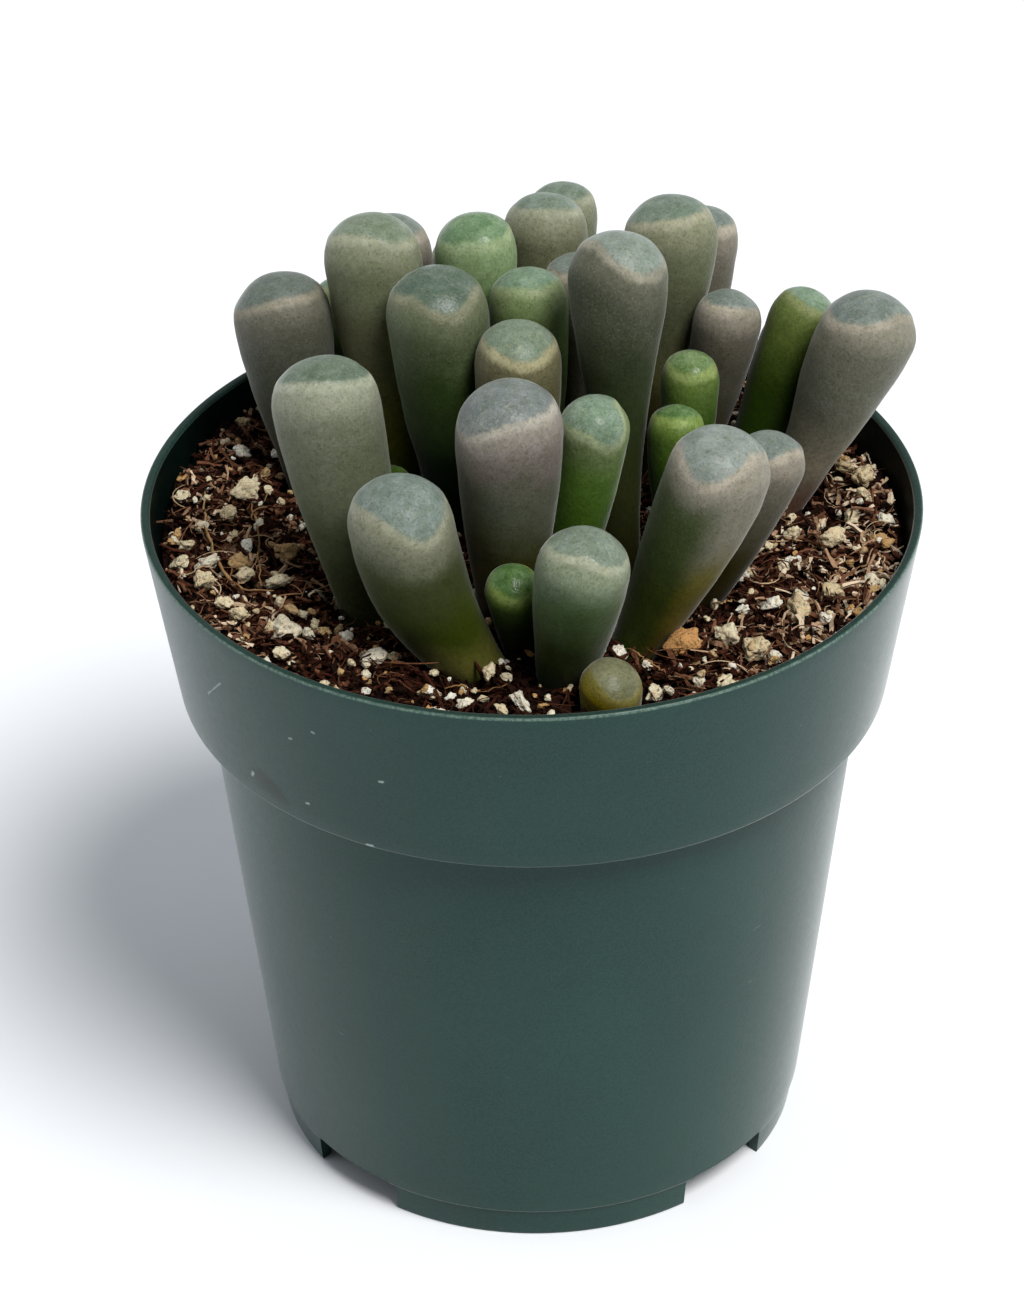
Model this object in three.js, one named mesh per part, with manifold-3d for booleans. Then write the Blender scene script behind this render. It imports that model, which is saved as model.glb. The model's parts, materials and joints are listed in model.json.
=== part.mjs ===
// Potted baby toes: a succulent of club-shaped leaves with clear windows, in a round nursery pot
//
// Millimetres, +Z up. The origin is the centre of the circle that the pot stands on, and -Y is the front.
// Every leaf, the crown with its roots, the potting mix and the pot is one closed solid of its own.

import * as THREE from 'three';
import { mergeVertices } from 'three/addons/utils/BufferGeometryUtils.js';
import Module from 'manifold-3d';

const wasm = await Module();
wasm.setup();

// Driving dimensions of the pot
const RIM_RADIUS = 38;
const POT_HEIGHT = 71.25;
const COLLAR_RADIUS = 35.1;
const COLLAR_BOTTOM = 52.2;
const COLLAR_INSIDE_BOTTOM = 53.9;
const BODY_TOP_RADIUS = 32.7;
const BODY_FOOT_RADIUS = 27.4;
const FOOT_RADIUS = 26.7;
const FOOT_HEIGHT = 3.2;
const FOOT_STEP = 0.3;
const FOOT_WALL = 1.1;
const WALL = 0.8;
const FLOOR_UNDERSIDE = 2.4;
const FLOOR_TOP = 3.2;
const FLOOR_ROUND = 1;
const LIP_ROUND = 0.6;
const EDGE_ROUND = 0.5;
const LEDGE_RISE = 0.7;
const ROUND_STEPS = 2;
const POT_SIDES = 48;

// Driving dimensions of the notches in the pot's foot
const NOTCH_COUNT = 4;
const NOTCH_ANGLE = 24;
const NOTCH_HEIGHT = 3.75;
const NOTCH_DEPTH = 6.5;
const NOTCH_ROUND = 1.2;
const NOTCH_OVERRUN = 1;

// Driving dimensions of the potting mix, which keeps a gap to everything that it holds or that holds it
const GAP = 0.3;
const HOLE_GAP = 0.4;
const CROWN_GAP = 0.5;
const SOIL_LEVEL = 66.5;
const SOIL_EDGE_RADIUS = 35.8;
const SOIL_TOP_RADII = [34, 31.4, 28.4, 24.6, 17, 8];
const SOIL_RELIEF = 0.55;
const SOIL_SEED = 411;

// Driving dimensions of the crown and roots. Each thickness is a radius at the start and one at the tip.
const CROWN_LEVEL = 58.4;
const CROWN_HALF_HEIGHT = 2;
const DOME_SIDES = 8;
const DOME_STEPS = [-35, 0, 40];
const ROOT_SIDES = 5;
const ROOT_STEPS = [0, 0.5, 1];
const TAPROOT_THICKNESS = [3.2, 0.9];
const SIDE_ROOT_THICKNESS = [1.7, 0.7];
const LIMB_THICKNESS = [2.6, 2];
const LIMB_ELBOW = { share: 0.5, drop: 6.5 };
const LIMB_END = { share: 0.9, drop: 1 };

// Driving dimensions that all leaves share. The shares are parts of a leaf's radius, and the fullness of the
// cap is 2 for an ellipse and more for a blunter tip.
const LEAF_BOTTOM = 61.2;
const CAP_SHARE = 1.02;
const CAP_FULLNESS = 2.4;
const MARGIN_SHARE = 0.6;
const FOOT_SHARE = 0.25;
const KEEL_SHARE = 0.05;
const KEEL_SPREAD = 38;

// The middle line of a leaf: how much of its lean goes on under the mix, and how high up it bends
const BURIED_LEAN = 0.5;
const TURN_SHARE = 0.3;

// How finely a leaf and the hole it stands in are faceted
const LEAF_SIDES = 12;
const BODY_STEPS = [0, 0.17, 0.36, 0.55, 0.72, 0.85, 0.94, 1];
const WINDOW_STEPS = [0.36, 0.7];
const HOLE_SIDES = 7;
const HOLE_STEPS = [-0.2, 4.5, 10];

const RAD = Math.PI / 180;
const WELD_DISTANCE = 1e-4;
const STREAM = { factor: 1664525, shift: 1013904223, span: 2 ** 32 };

// Colours and finishes
const FINISH = {
  pot: { color: 0x1d3f3a, roughness: 0.5, metalness: 0 },
  soil: { color: 0x3a2418, roughness: 0.95, metalness: 0 },
  crown: { color: 0x8a6a4a, roughness: 0.85, metalness: 0 },
  mauve: { color: 0x8a857c, roughness: 0.6, metalness: 0 },
  grey: { color: 0x85917e, roughness: 0.6, metalness: 0 },
  green: { color: 0x5d7d42, roughness: 0.55, metalness: 0 },
  young: { color: 0x6d9440, roughness: 0.5, metalness: 0 },
};

// The leaves: where each one leaves the potting mix, the middle of the widest section of its head, and
// the radius there. neck is the radius at the foot as a share of that, and swell says how soon the leaf
// fills out. keel is the compass angle of its soft ridge, and dip how far the window's margin drops there,
// in mm. face is the compass angle that the window looks to and how far it tilts. bow is 0.3 for a straight
// leaf, more for one that leans out at once and then rises. Compass angles run from +X to +Y, in degrees.
// The last five leaves stand behind the others.
const LEAVES = [
  {
    kind: 'mauve', base: [-22.0, 9.9], head: [-23.8, 10.6, 85.2], radius: 4.65,
    neck: 0.32, swell: 1, keel: 189, dip: 1, face: [102, 12], bow: 0.3,
  },
  {
    kind: 'grey', base: [-12.4, 9], head: [-15.1, 11.9, 90.8], radius: 4.7,
    neck: 0.42, swell: 1, keel: 318, dip: 0.9, face: [78, 13], bow: 0.25,
  },
  {
    kind: 'mauve', base: [-12.6, 16.4], head: [-13.8, 21, 86.3], radius: 4.3,
    neck: 0.45, swell: 1, keel: 300, dip: 0.5, face: [90, 5], bow: 0.3,
  },
  {
    kind: 'young', base: [-4.5, 11], head: [-5, 13.5, 90.8], radius: 3.9,
    neck: 0.5, swell: 1, keel: 200, dip: 0.9, face: [290, 3], bow: 0.3,
  },
  {
    kind: 'grey', base: [3.4, 22.5], head: [3.6, 27.9, 86.8], radius: 3.5,
    neck: 0.5, swell: 1, keel: 280, dip: 0.3, face: [90, 5], bow: 0.3,
  },
  {
    kind: 'grey', base: [1.7, 16], head: [1.8, 20, 88.9], radius: 4.2,
    neck: 0.5, swell: 1, keel: 270, dip: 0, face: [90, 14], bow: 0.3,
  },
  {
    kind: 'grey', base: [12.2, 11.7], head: [14.05, 15.3, 90.7], radius: 4.5,
    neck: 0.36, swell: 1.8, keel: 189, dip: 0.4, face: [143, 12], bow: 0.3,
  },
  {
    kind: 'mauve', base: [15.5, 18.2], head: [17.4, 22.4, 86.8], radius: 3.55,
    neck: 0.45, swell: 1, keel: 300, dip: 0.4, face: [90, 5], bow: 0.3,
  },
  {
    kind: 'grey', base: [-6.8, 2.6], head: [-8.75, 3.6, 89.2], radius: 4.9,
    neck: 0.44, swell: 0.85, keel: 291, dip: 1.9, face: [92, 14], bow: 0.3,
  },
  {
    kind: 'green', base: [0.3, 5], head: [0.05, 6.7, 88.5], radius: 3.8,
    neck: 0.6, swell: 1, keel: 282, dip: 0.4, face: [108, 15], bow: 0.3,
  },
  {
    kind: 'mauve', base: [5.2, 10.8], head: [4.75, 12.4, 87.4], radius: 3.35,
    neck: 0.45, swell: 1, keel: 300, dip: 0.4, face: [90, 5], bow: 0.3,
  },
  {
    kind: 'mauve', base: [8.2, -5.7], head: [8.4, 0.4, 94.7], radius: 4.7,
    neck: 0.46, swell: 2.3, keel: 294, dip: 1.8, face: [44, 17], bow: 0.25,
  },
  {
    kind: 'grey', base: [-1.3, -3.7], head: [-1.1, -1.75, 87.1], radius: 4.1,
    neck: 0.6, swell: 1, keel: 282, dip: 0.9, face: [349, 1], bow: 0.3,
  },
  {
    kind: 'mauve', base: [16, 11.6], head: [19.3, 10.1, 84.6], radius: 3.2,
    neck: 0.45, swell: 1.2, keel: 360, dip: 0.3, face: [98, 14], bow: 0.35,
  },
  {
    kind: 'green', base: [19.6, 6.6], head: [26.7, 10.6, 84.25], radius: 3.3,
    neck: 0.55, swell: 0.9, keel: 280, dip: 0.3, face: [60, 5], bow: 0.35,
  },
  {
    kind: 'mauve', base: [23.8, 4.9], head: [32.3, 3.4, 86.4], radius: 4.6,
    neck: 0.36, swell: 1.2, keel: 201, dip: 0.9, face: [130, 20], bow: 0.35,
  },
  {
    kind: 'grey', base: [-15.4, -12.3], head: [-18.95, -10.9, 87.65], radius: 5.1,
    neck: 0.44, swell: 0.85, keel: 270, dip: 0, face: [77, 16], bow: 0.35,
  },
  {
    kind: 'mauve', base: [-2.4, -13], head: [-2, -13.7, 86.6], radius: 4.95,
    neck: 0.5, swell: 0.9, keel: 210, dip: 2, face: [108, 8], bow: 0.3,
  },
  {
    kind: 'green', base: [3.15, -6.45], head: [5.8, -9.2, 84.1], radius: 3.4,
    neck: 0.6, swell: 0.9, keel: 303, dip: 2.8, face: [163, 22], bow: 0.3,
  },
  {
    kind: 'young', base: [14.6, 2], head: [15.5, 4.5, 81.5], radius: 2.8,
    neck: 0.6, swell: 0.9, keel: 243, dip: 0.3, face: [279, 7], bow: 0.3,
  },
  {
    kind: 'young', base: [13.85, -5.6], head: [13.9, -3.5, 80.3], radius: 2.75,
    neck: 0.55, swell: 0.9, keel: 270, dip: 0, face: [75, 8], bow: 0.3,
  },
  {
    kind: 'mauve', base: [8.4, -17.6], head: [17, -18.9, 84.7], radius: 4.75,
    neck: 0.42, swell: 0.9, keel: 243, dip: 2.2, face: [127, 18], bow: 0.5,
  },
  {
    kind: 'mauve', base: [14.7, -11.2], head: [22.05, -12.3, 81.8], radius: 3.4,
    neck: 0.45, swell: 0.9, keel: 219, dip: 1, face: [130, 18], bow: 0.45,
  },
  {
    kind: 'grey', base: [-3, -20.9], head: [-12.15, -21.8, 81.6], radius: 4.9,
    neck: 0.33, swell: 0.65, keel: 300, dip: 2.6, face: [53, 10], bow: 0.85,
  },
  {
    kind: 'young', base: [-0.6, -17.8], head: [-1.9, -20.8, 73.8], radius: 2.65,
    neck: 0.7, swell: 0.8, keel: 294, dip: 0.5, face: [50, 10], bow: 0.3,
  },
  {
    kind: 'grey', base: [2.6, -22.8], head: [4.4, -27, 79.7], radius: 4.35,
    neck: 0.52, swell: 0.9, keel: 270, dip: 0, face: [80, 21], bow: 0.3,
  },
  {
    kind: 'grey', base: [7, -28.6], head: [6.9, -29.45, 68.5], radius: 2.9,
    neck: 0.85, swell: 0.8, keel: 300, dip: 0.3, face: [20, 20], bow: 0.3,
  },
  {
    kind: 'young', base: [-12.9, -0.6], head: [-13.6, -1.6, 73.1], radius: 2.4,
    neck: 0.7, swell: 0.8, keel: 270, dip: 0.2, face: [90, 5], bow: 0.3,
  },
  {
    kind: 'green', base: [-16.8, 21.4], head: [-18.4, 26.2, 77.2], radius: 3.7,
    neck: 0.55, swell: 0.9, keel: 90, dip: 0.8, face: [90, 8], bow: 0.3,
  },
  {
    kind: 'grey', base: [-5.4, 20], head: [-6, 25, 82.5], radius: 3.8,
    neck: 0.5, swell: 0.9, keel: 80, dip: 1, face: [100, 8], bow: 0.3,
  },
  {
    kind: 'mauve', base: [9.4, 21], head: [10.9, 26.8, 78.6], radius: 3.7,
    neck: 0.5, swell: 0.9, keel: 70, dip: 1, face: [80, 8], bow: 0.3,
  },
  {
    kind: 'grey', base: [22.4, 13], head: [26.3, 17.6, 77], radius: 3.6,
    neck: 0.5, swell: 0.9, keel: 30, dip: 1, face: [40, 8], bow: 0.3,
  },
  {
    kind: 'grey', base: [-21.6, 16.8], head: [-24.6, 20.8, 77], radius: 3.6,
    neck: 0.5, swell: 0.9, keel: 140, dip: 1, face: [130, 8], bow: 0.3,
  },
];

// The crown's rosettes, each a low dome under the feet of its leaves: middle and radius
const ROSETTES = [
  { at: [1.6, -20.5], radius: 7 },
  { at: [-0.2, -5.5], radius: 6.5 },
  { at: [-14.2, -8.2], radius: 5.5 },
  { at: [-18.8, 12.2], radius: 7 },
  { at: [-1, 14.6], radius: 7 },
  { at: [13.6, 13], radius: 7 },
  { at: [17.6, -1.6], radius: 7 },
];

// The taproot and the side roots, from the neck outwards
const TAPROOT = [[0, 1, 49], [0.8, 0, 38], [-0.6, 1.2, 27], [0.4, 0.6, 17]];
const SIDE_ROOTS = [
  [[0, 1, 46], [8, 6, 38], [13, 12, 27], [14, 16, 18]],
  [[0, 1, 44], [-9, 5, 36], [-15, 8, 26], [-17, 8, 15]],
  [[0, 1, 42], [3, -9, 35], [7, -15, 25], [6, -18, 14]],
  [[0, 1, 40], [-4, -7, 33], [-9, -12, 24], [-8, -15, 12]],
];

// Perlite and pumice crumbs that stand out of the mix where the photo shows them: place and size
const CRUMBS = [
  [-27.8, -16.1, 1.5], [-19.2, -18.4, 1.9], [-9.8, -26.9, 1.3], [-1.4, -30.1, 1.2], [11.1, -27.5, 1.2],
  [24.3, -15.3, 2.1], [28.9, -4, 1.5], [32.6, 6.9, 1.4], [14.4, -20.9, 1.9], [33.6, -3.2, 1.3],
  [-24.5, -9.5, 1.2], [-29.5, 1.5, 1.3], [-28.6, 12.8, 1.1], [20.5, -22.5, 1.4], [28.5, -12.6, 1.2],
  [-15.6, -26.2, 1.1], [-23.6, -22.4, 1.2], [17.4, -28, 1.1], [31.4, 1.6, 1.1], [-3.2, -31.6, 0.9],
];
const LOOSE_CRUMBS = { count: 16, smallest: 0.8, largest: 1.5, reach: 33.5 };
const CRUMB_STRETCH = { least: 0.8, most: 1.2 };
const CRUMB_FLATNESS = 0.8;
const CRUMB_RISE = 0.3;
const CRUMB_SEED = 20261;

// Shared helpers

// A repeatable stream of numbers from 0 to 1
function randomStream(seed) {
  let state = seed;
  return () => {
    state = (state * STREAM.factor + STREAM.shift) % STREAM.span;
    return state / STREAM.span;
  };
}

// A soft step from 0 to 1
function smooth(value) {
  const t = Math.min(Math.max(value, 0), 1);
  return t * t * (3 - 2 * t);
}

// A power that keeps the sign of its value
function signedPower(value, power) {
  return Math.sign(value) * Math.abs(value) ** power;
}

function geometryFrom(points, faces) {
  const geometry = new THREE.BufferGeometry();
  const numbers = points.flatMap((p) => [p.x, p.y, p.z]);
  geometry.setAttribute('position', new THREE.Float32BufferAttribute(numbers, 3));
  geometry.setIndex(faces.flat());
  return geometry;
}

function solidFrom(geometry) {
  const bare = geometry.clone();
  bare.deleteAttribute('normal');
  bare.deleteAttribute('uv');
  const merged = mergeVertices(bare, WELD_DISTANCE);
  const vertProperties = new Float32Array(merged.attributes.position.array);
  const triVerts = new Uint32Array(merged.index.array);
  return new wasm.Manifold(new wasm.Mesh({ numProp: 3, vertProperties, triVerts }));
}

function geometryOf(solid) {
  const mesh = solid.getMesh();
  const geometry = new THREE.BufferGeometry();
  geometry.setAttribute('position', new THREE.BufferAttribute(mesh.vertProperties, 3));
  geometry.setIndex(new THREE.BufferAttribute(mesh.triVerts, 1));
  return geometry;
}

// A skin over a stack of rings, closed by a point at each end. Every ring has the same number of points.
function skinOverRings(bottom, rings, top) {
  const sides = rings[0].length;
  const points = [bottom, ...rings.flat(), top];
  const last = points.length - 1;
  const faces = [];
  for (let i = 0; i < sides; i += 1) {
    const next = (i + 1) % sides;
    faces.push([0, 1 + next, 1 + i]);
    for (let ring = 0; ring < rings.length - 1; ring += 1) {
      const here = 1 + ring * sides;
      const above = here + sides;
      faces.push([here + i, here + next, above + next], [here + i, above + next, above + i]);
    }
    const rim = 1 + (rings.length - 1) * sides;
    faces.push([rim + i, rim + next, last]);
  }
  return geometryFrom(points, faces);
}

function middleOf(points) {
  return points.reduce((sum, p) => sum.add(p), new THREE.Vector3()).divideScalar(points.length);
}

// Two directions square to a third, the first one as near as it can be to a compass angle
function squareFrame(along, compass) {
  const aim = new THREE.Vector3(Math.cos(compass), Math.sin(compass), 0);
  const across = aim.addScaledVector(along, -aim.dot(along)).normalize();
  const beside = new THREE.Vector3().crossVectors(along, across);
  return { across, beside };
}

// A ring of points square to a direction
function ringAround(middle, along, radius, sides) {
  const { across, beside } = squareFrame(along.clone().normalize(), 0);
  return Array.from({ length: sides }, (_, i) => {
    const turn = (i / sides) * 2 * Math.PI;
    return middle.clone()
      .addScaledVector(across, radius * Math.cos(turn))
      .addScaledVector(beside, radius * Math.sin(turn));
  });
}

// Leaves

// The line up the middle of a leaf: a curve from its foot to the widest section, then straight on
function leafAxis(leaf) {
  const foot = new THREE.Vector2(...leaf.base);
  const head = new THREE.Vector3(...leaf.head);
  const lean = new THREE.Vector2(head.x, head.y).sub(foot);
  const rise = head.z - SOIL_LEVEL;
  const depth = (SOIL_LEVEL - LEAF_BOTTOM) / (rise + SOIL_LEVEL - LEAF_BOTTOM);
  const under = foot.clone().addScaledVector(lean, -depth * BURIED_LEAN);
  const bend = foot.clone().addScaledVector(lean, leaf.bow);
  const start = new THREE.Vector3(under.x, under.y, LEAF_BOTTOM);
  const turn = new THREE.Vector3(bend.x, bend.y, SOIL_LEVEL + rise * TURN_SHARE);
  const curve = new THREE.QuadraticBezierCurve3(start, turn, head);
  const length = curve.getLength();
  const end = curve.getTangentAt(1);
  return {
    length,
    end,
    at(distance) {
      const share = Math.min(distance / length, 1);
      const point = curve.getPointAt(share);
      const along = curve.getTangentAt(share);
      if (distance > length) {
        point.addScaledVector(end, distance - length);
      }
      return { point, along };
    },
  };
}

// The radius of a leaf at a distance up its middle line
function leafRadius(leaf, length, distance) {
  if (distance <= length) {
    const filled = smooth((distance / length) ** leaf.swell);
    return leaf.radius * (leaf.neck + (1 - leaf.neck) * filled);
  }
  const over = (distance - length) / (leaf.radius * CAP_SHARE);
  return leaf.radius * Math.max(1 - over ** CAP_FULLNESS, 0) ** (1 / CAP_FULLNESS);
}

// How much of the keel there is at an angle away from it, from 1 down to 0
function keelShape(offAngle) {
  const off = Math.abs(((offAngle / RAD + 540) % 360) - 180) / KEEL_SPREAD;
  return Math.exp(-off * off);
}

// How far up a leaf's middle line the window's margin runs, at an angle from the keel
function marginDistance(leaf, axis, turn) {
  const [faceAngle, faceTilt] = leaf.face;
  const aside = Math.cos(turn + (leaf.keel - faceAngle) * RAD) * leaf.radius;
  const level = axis.length + leaf.radius * MARGIN_SHARE;
  return level - Math.tan(faceTilt * RAD) * aside - leaf.dip * keelShape(turn);
}

// A point of a leaf's skin, at an angle from the keel and a distance up the middle line
function skinPoint(leaf, axis, turn, distance, ridgeShare) {
  const { point, along } = axis.at(distance);
  const { across, beside } = squareFrame(along, leaf.keel * RAD);
  const ridge = 1 + KEEL_SHARE * keelShape(turn) * ridgeShare;
  const reach = leafRadius(leaf, axis.length, distance) * ridge;
  point.addScaledVector(across, reach * Math.cos(turn));
  return point.addScaledVector(beside, reach * Math.sin(turn));
}

function leafTurns() {
  return Array.from({ length: LEAF_SIDES }, (_, i) => (i / LEAF_SIDES) * 2 * Math.PI);
}

// The ring of a leaf at a share of the way up to the window's margin
function bodyRing(leaf, axis, share) {
  return leafTurns().map((turn) => (
    skinPoint(leaf, axis, turn, marginDistance(leaf, axis, turn) * share, smooth(share))
  ));
}

// A ring of the clear window, at a share of the way round the cap from the margin to the tip
function windowRing(leaf, axis, share) {
  const cap = leaf.radius * CAP_SHARE;
  return leafTurns().map((turn) => {
    const start = (marginDistance(leaf, axis, turn) - axis.length) / cap;
    const rise = Math.asin(signedPower(start, CAP_FULLNESS / 2));
    const height = signedPower(Math.sin(rise + (Math.PI / 2 - rise) * share), 2 / CAP_FULLNESS);
    const distance = axis.length + cap * height;
    return skinPoint(leaf, axis, turn, distance, 1 - share);
  });
}

function leafGeometry(leaf) {
  const axis = leafAxis(leaf);
  const body = BODY_STEPS.map((share) => bodyRing(leaf, axis, share));
  const window = WINDOW_STEPS.map((share) => windowRing(leaf, axis, share));
  const bottom = middleOf(body[0]);
  bottom.z -= leaf.radius * leaf.neck * FOOT_SHARE;
  return skinOverRings(bottom, [...body, ...window], axis.at(axis.length + leaf.radius * CAP_SHARE).point);
}

// The space that a leaf takes up in the mix: its own foot, a gap wider all round, up past the mix's top
function leafHole(leaf) {
  const axis = leafAxis(leaf);
  const corner = 1 / Math.cos(Math.PI / HOLE_SIDES);
  const rings = HOLE_STEPS.map((distance) => {
    const { point, along } = axis.at(Math.max(distance, 0));
    const foot = Math.min(Math.max(distance, 0), axis.length);
    const reach = (leafRadius(leaf, axis.length, foot) + HOLE_GAP) * corner;
    return ringAround(point.addScaledVector(along, Math.min(distance, 0)), along, reach, HOLE_SIDES);
  });
  const bottom = middleOf(rings[0]);
  bottom.z -= leaf.radius * leaf.neck * FOOT_SHARE + HOLE_GAP;
  return skinOverRings(bottom, rings, middleOf(rings[rings.length - 1]));
}

// Pot

// The pot's outline from the floor's underside round the foot, the outside, the lip and the inside
function potProfile() {
  const footInside = FOOT_RADIUS - FOOT_WALL;
  const bodyInside = BODY_FOOT_RADIUS - WALL;
  const lipInside = RIM_RADIUS - 2 * LIP_ROUND;
  const path = new THREE.Path();
  path.moveTo(footInside, FLOOR_UNDERSIDE);
  path.lineTo(footInside, 0);
  path.lineTo(FOOT_RADIUS, 0);
  path.lineTo(FOOT_RADIUS + FOOT_STEP, FOOT_HEIGHT);
  path.lineTo(BODY_FOOT_RADIUS, FOOT_HEIGHT + FOOT_STEP);
  path.lineTo(BODY_TOP_RADIUS, COLLAR_BOTTOM + LEDGE_RISE);
  path.lineTo(COLLAR_RADIUS - EDGE_ROUND, COLLAR_BOTTOM);
  path.quadraticCurveTo(COLLAR_RADIUS, COLLAR_BOTTOM, COLLAR_RADIUS, COLLAR_BOTTOM + EDGE_ROUND);
  path.lineTo(RIM_RADIUS, POT_HEIGHT - LIP_ROUND);
  path.quadraticCurveTo(RIM_RADIUS, POT_HEIGHT, RIM_RADIUS - LIP_ROUND, POT_HEIGHT);
  path.quadraticCurveTo(lipInside, POT_HEIGHT, lipInside, POT_HEIGHT - LIP_ROUND);
  path.lineTo(COLLAR_RADIUS - WALL, COLLAR_INSIDE_BOTTOM);
  path.lineTo(BODY_TOP_RADIUS - WALL, COLLAR_INSIDE_BOTTOM - EDGE_ROUND);
  path.lineTo(bodyInside, FLOOR_TOP + FLOOR_ROUND);
  path.lineTo(bodyInside - FLOOR_ROUND, FLOOR_TOP);
  return path.getPoints(ROUND_STEPS);
}

function circleAt(radius, height, sides) {
  return Array.from({ length: sides }, (_, i) => {
    const turn = (i / sides) * 2 * Math.PI;
    return new THREE.Vector3(radius * Math.cos(turn), radius * Math.sin(turn), height);
  });
}

// One of the notches in the foot, which cuts through the corner of the floor as a drain slot
function notchSolid(turn) {
  const half = FOOT_RADIUS * Math.sin((NOTCH_ANGLE / 2) * RAD);
  const arch = new THREE.Shape();
  arch.moveTo(-half, -NOTCH_OVERRUN);
  arch.lineTo(half, -NOTCH_OVERRUN);
  arch.lineTo(half, NOTCH_HEIGHT - NOTCH_ROUND);
  arch.quadraticCurveTo(half, NOTCH_HEIGHT, half - NOTCH_ROUND, NOTCH_HEIGHT);
  arch.lineTo(NOTCH_ROUND - half, NOTCH_HEIGHT);
  arch.quadraticCurveTo(-half, NOTCH_HEIGHT, -half, NOTCH_HEIGHT - NOTCH_ROUND);
  const run = { depth: 2 * NOTCH_DEPTH, curveSegments: ROUND_STEPS, bevelEnabled: false };
  const slab = new THREE.ExtrudeGeometry(arch, run);
  slab.rotateX(Math.PI / 2).rotateZ(Math.PI / 2).translate(FOOT_RADIUS - NOTCH_DEPTH, 0, 0);
  slab.rotateZ(turn);
  return solidFrom(slab);
}

function potGeometry() {
  const rings = potProfile().map((p) => circleAt(p.x, p.y, POT_SIDES));
  const underside = new THREE.Vector3(0, 0, FLOOR_UNDERSIDE);
  const floor = new THREE.Vector3(0, 0, FLOOR_TOP);
  let pot = solidFrom(skinOverRings(underside, rings, floor));
  for (let i = 0; i < NOTCH_COUNT; i += 1) {
    pot = pot.subtract(notchSolid(((i + 0.5) / NOTCH_COUNT) * 2 * Math.PI));
  }
  return geometryOf(pot);
}

// Crown and roots

function taperedRoot(points, [thickness, tipThickness], grow) {
  const curve = new THREE.CatmullRomCurve3(points.map((p) => new THREE.Vector3(...p)));
  const rings = ROOT_STEPS.map((share) => {
    const radius = thickness + (tipThickness - thickness) * share + grow;
    return ringAround(curve.getPointAt(share), curve.getTangentAt(share), radius, ROOT_SIDES);
  });
  const tip = curve.getPointAt(1).addScaledVector(curve.getTangentAt(1), grow + tipThickness / 2);
  const start = curve.getPointAt(0).addScaledVector(curve.getTangentAt(0), -grow);
  return solidFrom(skinOverRings(start, rings, tip));
}

// A low dome that the feet of one rosette's leaves sit on
function rosetteDome({ at: [x, y], radius }, grow) {
  const half = CROWN_HALF_HEIGHT + grow;
  const rings = DOME_STEPS.map((turn) => (
    circleAt((radius + grow) * Math.cos(turn * RAD), half * Math.sin(turn * RAD), DOME_SIDES)
  ));
  const bottom = new THREE.Vector3(0, 0, -half);
  const top = new THREE.Vector3(0, 0, half);
  return solidFrom(skinOverRings(bottom, rings, top).translate(x, y, CROWN_LEVEL));
}

// The whole crown, optionally grown all round, which is the space that it takes up in the mix
function crownSolid(grow) {
  let crown = taperedRoot(TAPROOT, TAPROOT_THICKNESS, grow);
  for (const points of SIDE_ROOTS) {
    crown = crown.add(taperedRoot(points, SIDE_ROOT_THICKNESS, grow));
  }
  for (const rosette of ROSETTES) {
    const [x, y] = rosette.at;
    const elbow = [x * LIMB_ELBOW.share, y * LIMB_ELBOW.share, CROWN_LEVEL - LIMB_ELBOW.drop];
    const end = [x * LIMB_END.share, y * LIMB_END.share, CROWN_LEVEL - LIMB_END.drop];
    crown = crown.add(taperedRoot([TAPROOT[0], elbow, end], LIMB_THICKNESS, grow));
    crown = crown.add(rosetteDome(rosette, grow));
  }
  return crown;
}

// Potting mix

// The outside of the mix from the floor up, a gap inside the pot's wall: radius and height
function soilWall() {
  const inside = BODY_FOOT_RADIUS - WALL - GAP;
  return [
    [inside - FLOOR_ROUND, FLOOR_TOP + GAP],
    [inside, FLOOR_TOP + FLOOR_ROUND + GAP],
    [BODY_TOP_RADIUS - WALL - GAP, COLLAR_INSIDE_BOTTOM - EDGE_ROUND + GAP],
    [COLLAR_RADIUS - WALL - GAP, COLLAR_INSIDE_BOTTOM + GAP],
    [SOIL_EDGE_RADIUS, SOIL_LEVEL],
  ];
}

// The mix as one filled body with an uneven top
function soilBody() {
  const random = randomStream(SOIL_SEED);
  const wall = soilWall().map(([radius, height]) => circleAt(radius, height, POT_SIDES));
  const top = SOIL_TOP_RADII.map((radius) => circleAt(radius, SOIL_LEVEL, POT_SIDES));
  for (const point of [...wall[wall.length - 1], ...top.flat()]) {
    point.z += SOIL_RELIEF * (2 * random() - 1);
  }
  const bottom = new THREE.Vector3(0, 0, FLOOR_TOP + GAP);
  return solidFrom(skinOverRings(bottom, [...wall, ...top], new THREE.Vector3(0, 0, SOIL_LEVEL)));
}

// One crumb of perlite, half sunk in the mix
function crumbSolid([x, y, size], random) {
  const crumb = new THREE.IcosahedronGeometry(size, 0);
  const stretch = () => THREE.MathUtils.lerp(CRUMB_STRETCH.least, CRUMB_STRETCH.most, random());
  crumb.scale(stretch(), stretch(), stretch() * CRUMB_FLATNESS);
  crumb.rotateZ(random() * Math.PI).translate(x, y, SOIL_LEVEL + size * CRUMB_RISE);
  return solidFrom(crumb);
}

function isClearOfLeaves(x, y, size) {
  return LEAVES.every((leaf) => {
    const foot = leafAxis(leaf).at(SOIL_LEVEL - LEAF_BOTTOM).point;
    return Math.hypot(foot.x - x, foot.y - y) > leaf.radius + size;
  });
}

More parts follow.
